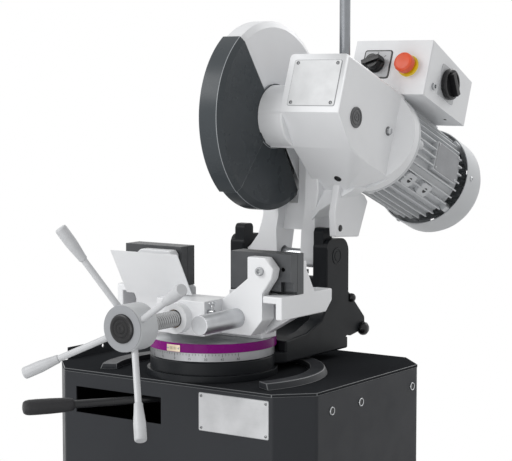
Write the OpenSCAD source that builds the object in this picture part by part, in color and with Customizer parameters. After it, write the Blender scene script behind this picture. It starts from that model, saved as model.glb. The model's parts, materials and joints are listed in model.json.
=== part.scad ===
// Cold saw on a cabinet stand: swivelling, tilting saw head over a fixed machine vise.
// Millimetres, +Z up, +X to the operator's right, the operator stands at -Y.
// The origin is on the floor, in the middle of the four anchor holes.

/* [Stand] */
// Height of the stand's top above the floor
stand_h = 800; // [700:5:900]
// Width of the stand
stand_w = 594; // [560:2:660]
// Depth of the stand
stand_d = 476; // [450:2:560]
// Chamfer of the four upright corners
stand_chamfer = 58; // [40:1:70]
// How far the stand's middle lies left of the swivel axis
stand_left = 20; // [0:1:30]
// Distance from the swivel axis to the stand's front
stand_front = 125; // [118:1:140]
// Sheet thickness of the cabinet
sheet = 3; // [2:0.5:5]
// Thickness of the top plate
top_t = 6; // [4:0.5:10]
// Width of the floor flange inside the cabinet
floor_flange = 48; // [40:1:60]
// Diameter of the floor anchor holes
anchor_d = 14; // [10:0.5:18]
// Inner radius of the raised coolant dam
dam_r = 184; // [180:1:190]
// Width of the coolant dam
dam_w = 33; // [20:1:36]
// Height of the coolant dam
dam_h = 12; // [6:0.5:13]
// Height of the splash plate at the left edge
splash_h = 24; // [10:1:40]
// Width of the lever slot in the front
slot_w = 204; // [190:1:210]
// Height of the lever slot
slot_h = 50; // [40:1:60]
// Width of the front plate
plate_w = 153; // [100:1:160]
// Height of the front plate
plate_h = 70; // [40:1:76]

/* [Turntable] */
// Radius of the turntable rings
ring_r = 117; // [112:0.5:120]
// Thickness of the fixed flange under the rings
flange_t = 13; // [12:0.5:18]
// Thickness of the swivel casting's ring
swivel_t = 25; // [20:0.5:30]
// Height of the angle scale ring
scale_h = 16; // [12:0.5:20]
// Height of the index ring
index_h = 16.5; // [12:0.5:20]
// Radius of the turntable post
post_r = 60; // [50:0.5:70]
// Running clearance in every bore that turns or slides
run_fit = 0.05; // [0.02:0.01:0.09]
// Air between faces that pass each other
face_gap = 0.3; // [0.2:0.05:0.5]

/* [Vise] */
// Height of the table above the index ring
table_h = 89; // [84:0.5:95]
// Thickness of the table wings
wing_t = 42; // [36:0.5:46]
// Half the width of the table
table_half = 190; // [188:1:196]
// Depth of the table behind the jaw faces
table_rear = 120; // [110:1:121]
// Half of the gap between the left and right jaws
jaw_gap = 57; // [56:0.5:62]
// Length of one jaw plate
jaw_l = 134; // [120:1:136]
// Thickness of one jaw plate
jaw_t = 21; // [16:0.5:22]
// Height of the jaws above the table
jaw_h = 75; // [60:0.5:76]
// Diameter of the guide bar
bar_d = 36; // [24:0.5:40]
// How far the guide bar stands out in front of the jaw faces
bar_out = 160; // [150:1:170]
// Diameter of the vise screw
screw_d = 30; // [24:0.5:32]
// Pitch of the vise screw
screw_pitch = 6; // [4:0.5:8]
// Travel of the moving jaw
jaw_travel = 90; // [60:1:92]
// Radius of the handwheel hub
hub_r = 42; // [36:0.5:46]
// Depth of the handwheel hub
hub_l = 52; // [44:0.5:60]
// Radius at which the spokes end
spoke_reach = 202; // [180:1:206]
// Diameter of a spoke
spoke_d = 12; // [10:0.5:14]
// Lean of the spokes towards the operator
spoke_lean = 24.7; // [15:0.1:30]

/* [Saw head] */
// Distance from the swivel axis back to the tilt pivot
pivot_y = 257; // [256:0.5:262]
// Height of the tilt pivot above the stand
pivot_h = 204; // [202:0.5:206]
// Diameter of the tilt pivot shaft
pivot_d = 20; // [16:0.5:24]
// Distance from the swivel axis back to the spindle, head raised
spindle_y = 172; // [170:0.5:174]
// Height of the spindle above the stand, head raised
spindle_h = 478; // [477:0.5:480]
// Lean of the head and motor, head raised
head_tilt = 21; // [20:0.1:22]
// Diameter of the saw blade
blade_d = 315; // [300:1:316]
// Bore of the saw blade
blade_bore = 32; // [25:0.5:40]
// Thickness of the saw blade
blade_t = 2.5; // [2:0.1:3]
// Number of blade teeth
blade_teeth = 120; // [80:2:160]
// Radius of the front guard
guard_r = 186.5; // [185:0.5:188]
// Half the width of the front guard
guard_half = 26; // [25:0.5:26.5]
// Sheet thickness of the guards
guard_t = 2.5; // [2:0.1:2.8]
// Left face of the gearbox
gear_x0 = 77; // [76:0.5:80]
// Width of the gearbox
gear_w = 131; // [128:0.5:134]
// Radius of the motor flange
motor_flange_r = 104; // [100:0.5:106]
// Length of the finned motor frame
motor_l = 200; // [180:1:206]
// Number of cooling fins
fin_count = 36; // [24:2:44]
// Length of the fan cover
fan_cover_l = 75; // [60:1:80]
// Length of the feed lever
lever_l = 370; // [300:5:420]
// Diameter of the feed lever
lever_d = 21; // [18:0.5:24]

/* [Drive] */
// Module of the worm drive
worm_module = 2; // [1.9:0.01:2.02]
// Teeth of the worm wheel
wheel_teeth = 36; // [35:1:36]
// Pitch radius of the worm
worm_r = 16; // [15.5:0.1:16.5]
// Module of the motor pinion and its gear
pinion_module = 1.5; // [1.45:0.01:1.52]
// Teeth of the motor pinion
pinion_teeth = 16; // [15:1:17]
// Teeth of the gear on the worm shaft
gear_teeth = 36; // [35:1:37]
// Play between meshing teeth
backlash = 0.5; // [0.4:0.05:0.6]

/* [Hidden] */
$fn = 64;

white = "whitesmoke";
dark = [0.2, 0.22, 0.24];
steel = "silver";
black = [0.08, 0.08, 0.09];

// Levels of the turntable stack
flange_top = stand_h + flange_t;
swivel_z0 = flange_top + face_gap;
swivel_z1 = swivel_z0 + swivel_t;
scale_top = swivel_z1 + scale_h;
disc_z0 = scale_top + face_gap;
disc_z1 = disc_z0 + index_h;
index_t = 3.5;
flange_r = ring_r + 6;
scale_bore = post_r + 30;

// Stand places
stand_x0 = -stand_left - stand_w / 2;
stand_x1 = -stand_left + stand_w / 2;
stand_y0 = -stand_front;
stand_y1 = stand_d - stand_front;
slot_x0 = -230;
slot_z0 = stand_h - 82;
lever_z = stand_h - 43;
front_plate_x0 = stand_x1 - plate_w - 63;
front_plate_z1 = stand_h - 12;
plate_t = 1.5;
lever_angle = 235.7;
lock_reach = 364;
lock_grip_l = 95;
lock_d = 15;
clamp_d = 32;

// Vise places
table_z = disc_z1 + table_h;
wing_z0 = table_z - wing_t;
jaw_top = table_z + jaw_h;
screw_z = disc_z1 + 44;
bar_x = 88;
block_half = 55;
block_z0 = disc_z1 + 13;
block_z1 = table_z - 12;
block_front = -100;
nut_front = -118;
plate_y0 = -jaw_t - 24;
hub_y1 = nut_front - jaw_travel - 7;
hub_y0 = hub_y1 - hub_l;
pedestal_y0 = 2;
pedestal_y1 = 75;
pedestal_half = 112;
nut_r = screw_d / 2 + 9;
nut_lip = 5;
bush_r = 16;
journal_r = 10;
sweep_gap = 38;

// Saw head places
pivot_z = stand_h + pivot_h;
spindle_z = stand_h + spindle_h;
gear_x1 = gear_x0 + gear_w;
motor_x = gear_x0 + gear_w / 2;
cheek_in = 83;
cheek_out = 115;
cheek_front = pivot_y - 37;
cheek_rear = pivot_y + 43;
leg_out = cheek_in - 2;
bracket_z1 = pivot_z - 40;
bolt_x = 54;
bolt_y = cheek_front + 13;
bolt_r = 6;
web_z = pivot_z + 48;
hood_r = guard_r - guard_t - 1.5;
hood_half = guard_half - guard_t - 0.8;
spigot_r = 56;
boss_x0 = guard_half + 0.5;
boss_r = 60;
saddle_r = guard_r + 5;
split_low = -49.5;
split_top = 54.5;
lower_end = -120;
hood_end = 235;
bevel_r = 12;
bevel_x = 6;

// Drive places, in the head's leaning frame
wheel_r = worm_module * wheel_teeth / 2;
worm_v = wheel_r + worm_r;
motor_v = worm_v - pinion_module * (pinion_teeth + gear_teeth) / 2;
worm_pitch = PI * worm_module;
worm_lead = atan(worm_pitch / (2 * PI * worm_r));
gear_top = 103;
face_u = -63;
cavity_wall = 8;
slope_wall = 5.5;
slope_a = [-60, -12];
slope_b = [3, -60];
slope_n = [slope_a[1] - slope_b[1], slope_b[0] - slope_a[0]] / norm(slope_b - slope_a);
cavity_u0 = -49;
worm_u0 = cavity_u0 - 4;
worm_u1 = 184;
gears_u0 = 136;
gears_u1 = 152;
flange_u0 = 160;
flare_u0 = 146;
plug_u = 122;
plug_v = 16;
flange_u1 = 178;
frame_u0 = flange_u1 + 8;
frame_u1 = frame_u0 + motor_l;
cover_u0 = frame_u1 + 14;
cover_u1 = cover_u0 + fan_cover_l;
fin_r = motor_flange_r - 7;
frame_r = fin_r - 11;
stator_r = frame_r - 10;
rotor_r = 47;
cover_t = 2.5;
shaft_r = 12;
spindle_r = 22;
worm_shaft_r = 9;
clamp_r = 44;
clamp_t = 7;

// Control box places
box_x0 = 75;
box_w = 175;
box_u0 = 158;
box_l = 181;
box_v0 = 104;
box_front_h = 114;
box_rear_h = 95;
box_t = 3;
panel_t = 3;
selector_x = 132;
selector_v = 167;
stop_x = 205;
stop_v = 163;
main_u = 240;
main_v = 157;
switch_half = 33;
switch_r = 31;
lever_x = 135;
lever_y = spindle_y + 78;
lever_z0 = spindle_z + 60;
grip_l = 130;
grip_cap = 10;
button_r = 7;
button_travel = 4;
stop_travel = 5;

// The whole machine, moved from the swivel axis to the origin
module machine() { translate([stand_left, stand_front - stand_d / 2, 0]) children(); }
// Helpers: a 2D outline in (Y, Z) swept along X, one in (X, Z) swept along Y, and round bars
module along_x(x0, x1) { translate([x0, 0, 0]) rotate([90, 0, 90]) linear_extrude(x1 - x0) children(); }
module along_y(y0, y1) { translate([0, y1, 0]) rotate([90, 0, 0]) linear_extrude(y1 - y0) children(); }
module rod_x(y, z, r, x0, x1) { translate([x0, y, z]) rotate([0, 90, 0]) cylinder(r = r, h = x1 - x0); }
module rod_y(x, z, r, y0, y1) { translate([x, y1, z]) rotate([90, 0, 0]) cylinder(r = r, h = y1 - y0); }
module rod_z(x, y, r, z0, z1) { translate([x, y, z0]) cylinder(r = r, h = z1 - z0); }
module block(a, b) { translate(a) cube(b - a); }
module both_sides() {
  children();
  mirror([1, 0, 0]) children();
}
// The head's own frame: X stays, Y runs back along the motor, Z stands off the spindle axis
module head() { translate([0, spindle_y, spindle_z]) rotate([-head_tilt, 0, 0]) children(); }
module motor_axis() { translate([motor_x, 0, motor_v]) children(); }
module worm_axis() { translate([motor_x, 0, worm_v]) children(); }
module rod_u(r, u0, u1) { rod_y(0, 0, r, u0, u1); }

// Octagonal outline of the stand, drawn in by an inset
module stand_outline(inset) {
  w = stand_w / 2 - inset;
  d = stand_d / 2 - inset;
  c = stand_chamfer - inset * (2 - sqrt(2));
  translate([-stand_left, stand_d / 2 - stand_front])
    polygon([[-w, c - d], [c - w, -d], [w - c, -d], [w, c - d], [w, d - c], [w - c, d], [c - w, d],
      [-w, d - c]]);
}

module anchor_places() {
  for (sx = [-1, 1], sy = [-1, 1])
    translate([-stand_left + sx * (stand_w / 2 - floor_flange / 2),
      stand_d / 2 - stand_front + sy * (stand_d / 2 - stand_chamfer - 40), 0]) children();
}

module stand_cabinet() {
  flange_h = 5;
  color(dark) difference() {
    linear_extrude(stand_h - top_t) stand_outline(0);
    translate([0, 0, flange_h]) linear_extrude(stand_h) stand_outline(sheet);
    translate([0, 0, -1]) linear_extrude(stand_h) stand_outline(floor_flange);
    block([slot_x0, stand_y0 - 1, slot_z0], [slot_x0 + slot_w, stand_y0 + sheet + 1, slot_z0 + slot_h]);
    anchor_places() translate([0, 0, -1]) cylinder(d = anchor_d, h = flange_h + 2);
    side_places() rod_x(0, 0, side_hole_r, -sheet - 1, 1);
  }
}

// Fittings in the right side of the stand, along its upper edge
side_hole_r = 6;
side_y0 = stand_y0 + stand_chamfer + 49;
side_ys = [side_y0, side_y0 + 100, stand_y1 - stand_chamfer - 21];
module side_places() {
  for (y = side_ys) translate([stand_x1, y, stand_h - 40]) children();
}
module side_fittings() {
  rim = 2;
  color(black) side_places() {
    rod_x(0, 0, side_hole_r, -sheet, 0);
    rod_x(0, 0, side_hole_r + rim, 0, rim);
  }
}

module stand_top() {
  color(dark) difference() {
    translate([0, 0, stand_h - top_t]) linear_extrude(top_t) stand_outline(0);
    rod_z(0, 0, clamp_d / 2 + run_fit, stand_h - top_t - 1, stand_h + 1);
  }
}

module splash_plate() {
  y0 = -50;
  color(dark) difference() {
    block([stand_x0, y0, stand_h], [stand_x0 + sheet, y0 + 260, stand_h + splash_h]);
    rod_x(y0 + 106, stand_h + splash_h - 10, 4, stand_x0 - 1, stand_x0 + sheet + 1);
  }
}

module coolant_dam() {
  end_angle = -27;
  color(dark) translate([0, 0, stand_h]) rotate(end_angle) rotate_extrude(angle = 180 - 2 * end_angle)
    polygon([[dam_r, 0], [dam_r + dam_w, 0], [dam_r + dam_w - 6, dam_h], [dam_r, dam_h]]);
}

module front_plate() {
  color(steel) block([front_plate_x0, stand_y0 - plate_t, front_plate_z1 - plate_h],
    [front_plate_x0 + plate_w, stand_y0, front_plate_z1]);
}

module clamp_bolt() {
  collar_h = 6;
  color(steel) {
    rod_z(0, 0, clamp_d / 2, lever_z - 40, stand_h);
    rod_z(0, 0, clamp_d / 2 + 12, lever_z - 40, lever_z - 40 + collar_h);
  }
}

module turntable_flange() {
  color(dark) {
    rod_z(0, 0, flange_r, stand_h, flange_top);
    rod_z(0, 0, post_r, flange_top, disc_z0);
  }
}

module base_disc() {
  color(steel) rod_z(0, 0, ring_r, disc_z0, disc_z1);
}

module index_ring() {
  color([0.5, 0.1, 0.48]) translate([0, 0, disc_z0]) difference() {
    cylinder(r = ring_r + index_t, h = index_h);
    translate([0, 0, -1]) cylinder(r = ring_r, h = index_h + 2);
  }
}

module pointer_plate() {
  span = 14;
  color("tan") translate([0, 0, disc_z0 + 1]) rotate(-90 - span / 2) rotate_extrude(angle = span)
    translate([ring_r + index_t, 0]) square([1, index_h - 4]);
}

// The fixed part of the vise: pedestal on the disc, two table wings, jaw backs and ribs
wing_front = -49;
wing_inner = 148;
wing_skirt = 14;
wing_plate = 13;
module wing_outline() {
  neck = sweep_gap + 1;
  polygon([[neck, 1], [wing_inner, 1], [wing_inner, wing_front], [table_half, wing_front],
    [table_half, table_rear], [sweep_gap + table_rear, table_rear]]);
}

module vise_base() {
  back_t = 12;
  back_x0 = 95;
  rib_t = 12;
  color(white) difference() {
    union() {
      block([-pedestal_half, pedestal_y0, disc_z1], [pedestal_half, pedestal_y1 - 25, wing_z0]);
      block([-50, pedestal_y0, disc_z1], [50, pedestal_y1, wing_z0]);
      both_sides() {
        translate([0, 0, wing_z0]) linear_extrude(wing_t) wing_outline();
        block([back_x0, jaw_t, table_z], [table_half, jaw_t + back_t, jaw_top - 15]);
        along_x(table_half - rib_t, table_half) polygon([[jaw_t + back_t, table_z],
          [jaw_t + back_t + 28, table_z], [jaw_t + back_t, table_z + 45]]);
        along_y(pedestal_y0 + 10, pedestal_y0 + 34) polygon([[pedestal_half - 1, disc_z1 + 8],
          [pedestal_half - 1, wing_z0], [table_half - rib_t, wing_z0]]);
      }
    }
    rod_y(bar_x, screw_z, bar_d / 2, pedestal_y0 - 1, pedestal_y1 + 1);
    rod_y(0, screw_z, bush_r, pedestal_y0 - 1, pedestal_y1 + 1);
    both_sides() {
      along_x(table_half - 60, table_half + 1) polygon([[table_rear - 22, wing_z0 - 1],
        [table_rear + 1, wing_z0 - 1], [table_rear + 1, wing_z0 + 21]]);
      block([wing_inner - 1, wing_front - 1, wing_z0 - 1],
        [table_half - wing_skirt, 0, table_z - wing_plate]);
    }
    fixed_screw_places() rod_y(0, 0, 4, -1, back_t + 1);
  }
}

module fixed_screw_places() {
  for (sx = [-1, 1], x = [110, 170]) translate([sx * x, jaw_t, table_z + 40]) children();
}

module fixed_jaws() {
  color(dark) both_sides()
    block([jaw_gap, face_gap / 2, table_z], [jaw_gap + jaw_l, jaw_t, jaw_top]);
}

module fixed_jaw_screws() {
  back_t = 12;
  color(steel) fixed_screw_places() {
    rod_y(0, 0, 4, 0, back_t);
    rod_y(0, 0, 7, back_t, back_t + 6);
  }
}

module guide_bar() {
  color(steel) rod_y(bar_x, screw_z, bar_d / 2, -bar_out, pedestal_y1 - 25);
}

module screw_bush() {
  color("peru") difference() {
    rod_y(0, screw_z, bush_r, pedestal_y0, pedestal_y1);
    rod_y(0, screw_z, journal_r + run_fit, pedestal_y0 - 1, pedestal_y1 + 1);
  }
}

// Swivel clamp lever in the slot of the stand
module along_lever() { translate([0, 0, lever_z]) rotate(lever_angle) rotate([0, 90, 0]) children(); }
module lock_lever() {
  collar_r = clamp_d / 2 + 12;
  color(black) difference() {
    union() {
      rod_z(0, 0, collar_r, lever_z - 12, lever_z + 12);
      along_lever() cylinder(d = lock_d, h = lock_reach - 20);
    }
    rod_z(0, 0, clamp_d / 2 + run_fit, lever_z - 13, lever_z + 13);
  }
}

module lock_grip() {
  grip_r = lock_d / 2 + 7;
  color(black) along_lever() translate([0, 0, lock_reach - lock_grip_l]) difference() {
    rotate_extrude() polygon([[0, 0], [lock_d / 2 + 2, 0], [grip_r - 2, 6], [grip_r, 40],
      [grip_r, lock_grip_l - 6], [grip_r - 5, lock_grip_l], [0, lock_grip_l]]);
    translate([0, 0, -1]) cylinder(d = lock_d, h = lock_grip_l - 20 + 1);
  }
}

// Moving jaw: a block with the nut, two lower bodies and two uprights
module upright_right() {
  polygon([[111, block_z1 + 41], [111, jaw_top - 6], [150, jaw_top - 6], [168, jaw_top - 26],
    [164, jaw_top - 44], [144, table_z + 3], [144, block_z1], [block_half - 1, block_z1 - 1],
    [87, block_z1 + 22]]);
}
module upright_left() {
  polygon([[-62, block_z1 + 30], [-62, jaw_top - 20], [-68, jaw_top - 12], [-136, jaw_top - 12],
    [-148, jaw_top - 22], [-148, jaw_top - 50], [-130, block_z1], [1 - block_half, block_z1 - 1]]);
}
module lower_body() {
  polygon([[block_half - 1, block_z0], [118, block_z0], [144, block_z0 + 30], [144, block_z1],
    [block_half - 1, block_z1]]);
}

module moving_jaw() {
  color(white) difference() {
    union() {
      block([-block_half, block_front, block_z0], [block_half, -jaw_t, block_z1]);
      rod_y(0, screw_z, nut_r + 4, nut_front, block_front);
      along_y(plate_y0, -jaw_t) upright_right();
      along_y(plate_y0, -jaw_t) upright_left();
      both_sides() along_y(plate_y0, -5) lower_body();
    }
    rod_y(0, screw_z, nut_r, nut_front + nut_lip, 0);
    rod_y(0, screw_z, screw_d / 2 + 2, nut_front - 1, 0);
    rod_y(bar_x, screw_z, bar_d / 2 + run_fit, plate_y0 - 1, 0);
    jaw_screw_places() rod_y(0, 0, 5, -1, 30);
    rod_x(-88, screw_z + 14, 4, block_half - 12, block_half + 1);
  }
}

module jaw_screw_places() {
  for (x = [-110, 140]) translate([x, plate_y0, table_z + 44]) children();
}

module moving_jaw_plates() {
  clear = 6;
  color(dark) difference() {
    both_sides() block([jaw_gap, -jaw_t, table_z + clear], [jaw_gap + jaw_l, -face_gap / 2, jaw_top]);
    jaw_screw_places() rod_y(0, 0, 5, 23, 37);
    rod_y(174, table_z + 47, 4, -jaw_t - 1, -jaw_t + 12);
    block([169, -jaw_t - 1, table_z], [jaw_gap + jaw_l + 1, -jaw_t + 10, table_z + 24]);
  }
}

module jaw_screws() {
  color(steel) jaw_screw_places() {
    rod_y(0, 0, 5, 0, 36);
    difference() {
      rod_y(0, 0, 8, -6, 0);
      translate([0, -6, 0]) rotate([90, 30, 0]) cylinder(r = 4.6, h = 8, center = true, $fn = 6);
    }
  }
}

module chip_deflector() {
  x0 = -163;
  x1 = -5;
  foot_z = table_z - 26;
  top_z = jaw_top - 5;
  lean = 55;
  t = 2;
  low = block_z1 + 3;
  step_z = table_z - 15;
  tab_x0 = -145;
  color(white) {
    along_x(tab_x0, -block_half - 2) polygon([[plate_y0 - t, foot_z - 30], [plate_y0, foot_z - 30],
      [plate_y0, foot_z], [plate_y0 - lean, top_z], [plate_y0 - lean - t, top_z], [plate_y0 - t, foot_z]]);
    along_x(x0, tab_x0) slope(step_z);
    along_x(-block_half - 2, x1) slope(low);
  }
  module slope(z) {
    y0 = plate_y0 - lean * (z - foot_z) / (top_z - foot_z);
    y1 = plate_y0 - lean;
    polygon([[y0, z], [y1, top_z], [y1 - t, top_z], [y0 - t, z]]);
  }
}

module vise_nut() {
  color("peru") difference() {
    rod_y(0, screw_z, nut_r, nut_front + nut_lip, -60);
    rod_y(0, screw_z, screw_d / 2 + run_fit, nut_front, -59);
  }
}

// Stock stop holder at the block's right side: a pin with a wing screw
module stop_pin() {
  z = screw_z + 14;
  color(steel) {
    rod_x(-88, z, 4, block_half - 12, block_half + 14);
    rod_z(block_half + 9, -88, 2.5, z + 3, z + 14);
    block([block_half + 7.5, -96, z + 11], [block_half + 10.5, -80, z + 18]);
  }
}

// Vise screw with its ring-shaped crests, journal and thrust collar
module vise_screw() {
  core = screw_d / 2 - 2.5;
  thread_y0 = hub_y1;
  thread_y1 = -10;
  turns = floor((thread_y1 - thread_y0) / screw_pitch);
  color(steel) {
    rod_y(0, screw_z, core, hub_y0 + 8, thread_y1);
    translate([0, thread_y0, screw_z]) rotate([-90, 0, 0]) for (i = [0 : turns - 1])
      translate([0, 0, i * screw_pitch]) rotate_extrude()
        polygon([[0, 0], [core, 0], [screw_d / 2, 1.5], [screw_d / 2, screw_pitch - 3],
          [core, screw_pitch - 1.5], [0, screw_pitch - 1.5]]);
    rod_y(0, screw_z, screw_d / 2, thread_y1, pedestal_y0 - face_gap);
    rod_y(0, screw_z, journal_r, pedestal_y0 - face_gap, pedestal_y1 + 14);
  }
}

module thrust_nut() {
  color(steel) difference() {
    translate([0, pedestal_y1 + 14, screw_z]) rotate([90, 0, 0])
      cylinder(r = 18, h = 14 - face_gap, $fn = 6);
    rod_y(0, screw_z, journal_r, pedestal_y1 - 1, pedestal_y1 + 15);
  }
}

// Star handwheel: hub, cap, four leaning spokes with tapered grips
module spoke_places() {
  for (a = [0 : 3]) translate([0, (hub_y0 + hub_y1) / 2 + 5, screw_z]) rotate([0, -26.5 - 90 * a, 0])
    rotate([0, 0, -spoke_lean]) rotate([0, 90, 0]) children();
}
spoke_root = 26;
spoke_l = spoke_reach / cos(spoke_lean);
spoke_grip_l = 74;
module handwheel_hub() {
  core = screw_d / 2 - 2.5;
  color(white) difference() {
    translate([0, hub_y1, screw_z]) rotate([90, 0, 0]) rotate_extrude()
      polygon([[0, 0], [hub_r - 3, 0], [hub_r, 3], [hub_r, hub_l - 4], [hub_r - 4, hub_l], [0, hub_l]]);
    rod_y(0, screw_z, core, hub_y0 + 8, hub_y1 + 1);
    spoke_places() translate([0, 0, spoke_root]) cylinder(d = spoke_d, h = hub_r);
  }
}

module hub_cap() {
  cap_r = hub_r * 0.62;
  color(black) translate([0, hub_y0, screw_z]) rotate([90, 0, 0]) rotate_extrude()
    polygon([[0, 0], [cap_r, 0], [cap_r, 2], [cap_r - 4, 4], [cap_r - 9, 4], [cap_r - 11, 3],
      [8, 3], [6, 5], [0, 5]]);
}

module spokes() {
  color(steel) spoke_places() translate([0, 0, spoke_root])
    cylinder(d = spoke_d, h = spoke_l - 20 - spoke_root);
}

module spoke_grips() {
  r0 = spoke_d / 2 + 1;
  r1 = spoke_d / 2 + 5;
  color("lightgray") spoke_places() translate([0, 0, spoke_l - spoke_grip_l]) difference() {
    rotate_extrude() polygon([[0, 0], [r0, 0], [r1, spoke_grip_l - 12], [r1 - 1, spoke_grip_l - 5],
      [r1 - 4, spoke_grip_l - 1], [0, spoke_grip_l]]);
    translate([0, 0, -1]) cylinder(d = spoke_d, h = spoke_grip_l - 20 + 1);
  }
}

arm_y0 = 78;
// Swivel casting: ring round the post, arm to the rear, two cheeks for the tilt pivot
module arm_plan() {
  polygon([[-cheek_out, arm_y0], [-70, 20], [70, 20], [cheek_out, arm_y0], [cheek_out, cheek_rear],
    [-cheek_out, cheek_rear]]);
}

module cheek_side() {
  top = pivot_z + 34;
  r0 = 18;
  r1 = 28;
  polygon([[arm_y0, swivel_z0 + 3], [arm_y0, scale_top + 4], [150, scale_top + 10],
    [cheek_front - 18, scale_top + 28],
    [cheek_front, scale_top + 52], [cheek_front, top - r0], [cheek_front + r0, top], [cheek_rear - r1, top],
    [cheek_rear, top - r1], [cheek_rear, swivel_z0 + 32], [cheek_rear - 45, swivel_z0 + 3]]);
  translate([cheek_front + r0, top - r0]) circle(r = r0);
  translate([cheek_rear - r1, top - r1]) circle(r = r1);
}
// Ear on each cheek, with a rounded top
module ear_side() {
  y0 = cheek_front + 2;
  y1 = cheek_front + 34;
  top = pivot_z + 56;
  r = 10;
  polygon([[y0, pivot_z], [y0, top - r], [y0 + r, top], [y1 - r, top], [y1, top - r], [y1, pivot_z]]);
  for (y = [y0 + r, y1 - r]) translate([y, top - r]) circle(r = r);
}

module swivel_casting() {
  arm_z0 = swivel_z0 + 3;
  color(dark) difference() {
    union() {
      rod_z(0, 0, ring_r, swivel_z0, swivel_z1);
      intersection() {
        translate([0, 0, arm_z0]) linear_extrude(scale_top + 8 - arm_z0) arm_plan();
        along_x(-cheek_out, cheek_out) cheek_side();
      }
      translate([0, 0, arm_z0]) linear_extrude(swivel_z1 - arm_z0) arm_plan();
      both_sides() {
        along_x(cheek_in, cheek_out) cheek_side();
        along_x(cheek_in, cheek_in + 22) ear_side();
      }
      block([-cheek_in, cheek_rear - 15, swivel_z1], [cheek_in, cheek_rear, pivot_z - 60]);
      block([bolt_x - 12, bolt_y - 10, bracket_z1 - 34], [cheek_in + 5, bolt_y + 10, bracket_z1]);
      along_x(cheek_in - 5, cheek_out - 3) polygon([[cheek_rear - 1, pivot_z - 70],
        [cheek_rear + 12, pivot_z - 78], [cheek_rear + 70, pivot_z - 132], [cheek_rear + 72, pivot_z - 158],
        [cheek_rear + 18, pivot_z - 166], [cheek_rear - 1, pivot_z - 162]]);
    }
    rod_z(0, 0, post_r + run_fit, swivel_z0 - 1, scale_top + 20);
    rod_z(0, 0, ring_r + index_t + 3, swivel_z1, table_z);
    rod_x(pivot_y, pivot_z, pivot_d / 2, -cheek_out - 1, cheek_out + 1);
    both_sides() rod_x(pivot_y, pivot_z, pivot_d / 2 + 7, cheek_out - 6, cheek_out + 1);
    rod_z(bolt_x, bolt_y, bolt_r, bracket_z1 - 35, bracket_z1 + 1);
  }
}

module scale_ring() {
  color("lightgray") translate([0, 0, swivel_z1]) difference() {
    cylinder(r = ring_r, h = scale_h);
    translate([0, 0, -1]) cylinder(r = scale_bore, h = scale_h + 2);
  }
}

module pivot_shaft() {
  color(steel) rod_x(pivot_y, pivot_z, pivot_d / 2, 6 - cheek_out, cheek_out - 6);
}

module pivot_plugs() {
  color(dark) both_sides() rod_x(pivot_y, pivot_z, pivot_d / 2 + 7, cheek_out - 6, cheek_out + 1);
}

module stop_bolt() {
  nut_h = 4;
  head_h = 8;
  color(steel) translate([bolt_x, bolt_y, bracket_z1]) {
    rod_z(0, 0, bolt_r, -34, nut_h);
    translate([0, 0, nut_h]) cylinder(r = bolt_r * 1.75, h = head_h, $fn = 6);
  }
}

// Head casting: faceted gearbox, spindle boss, flange bell and the two pivot legs
module gearbox_side() {
  polygon([[face_u, gear_top], slope_a, slope_b, [54, -66], [75, -69], [flange_u0, -60],
    [flange_u0, gear_top]]);
}
// Lower front: deep on the left, drawn up to the lower edge of the right wall
module gearbox_low() {
  inner = [[flange_u0, -40], [40, -40]];
  hull() {
    along_x(gear_x0, motor_x) polygon(concat([slope_b, [117, -108], [flange_u0, -92]], inner));
    along_x(gear_x1 - 1, gear_x1) polygon(concat([slope_b, [40, -66], [flange_u0, -66]], inner));
  }
}
// The right wall flares out to the motor flange in one flat facet
module flange_flare() {
  rim = motor_x + motor_flange_r;
  intersection() {
    motor_axis() rod_u(motor_flange_r, flare_u0 - 1, flange_u0 + 4);
    translate([0, 0, -motor_flange_r]) linear_extrude(3 * motor_flange_r) polygon([[gear_x1 - 1, flare_u0],
      [gear_x1, flare_u0], [rim, flange_u0 + 1], [rim, flange_u0 + 3], [gear_x1 - 1, flange_u0 + 3]]);
  }
}

module boss_side() {
  circle(r = boss_r);
  polygon([[-boss_r, 0], [-16, -boss_r], [30, -boss_r], [boss_r, -30], [62, 10], [0, boss_r]]);
}

// Pivot legs and the web between them, seen from the front and from the side
module legs_front() {
  polygon([[-leg_out, pivot_z - 30], [-leg_out, pivot_z + 8], [-72, pivot_z + 15], [-55, pivot_z + 36],
    [-40, pivot_z + 76], [-40, spindle_z - 60], [gear_x0 + 16, spindle_z - 60],
    [gear_x0 + 16, spindle_z - 147],
    [leg_out, pivot_z + 81], [leg_out, pivot_z - 30], [44, pivot_z - 30], [50, web_z], [-10, web_z],
    [-8, pivot_z - 30]]);
}
module web_recess() {
  polygon([[-10, web_z - 1], [50, web_z - 1], [60, pivot_z + 100], [67, spindle_z - 96],
    [67, spindle_z - 50], [-4, spindle_z - 50], [-4, pivot_z + 77]]);
}
module legs_side() {
  top = spindle_z - 84;
  polygon([[pivot_y - 27, pivot_z], [pivot_y - 19, pivot_z - 19], [pivot_y, pivot_z - 27],
    [pivot_y + 19, pivot_z - 19], [pivot_y + 27, pivot_z], [pivot_y + 80, top], [pivot_y - 40, top],
    [pivot_y - 30, pivot_z + 86]]);
}
module head_legs() {
  difference() {
    intersection() {
      along_y(pivot_y - 60, pivot_y + 100) legs_front();
      along_x(-leg_out, gear_x0 + 30) legs_side();
    }
    along_y(pivot_y - 60, pivot_y - 4) web_recess();
  }
}
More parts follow.
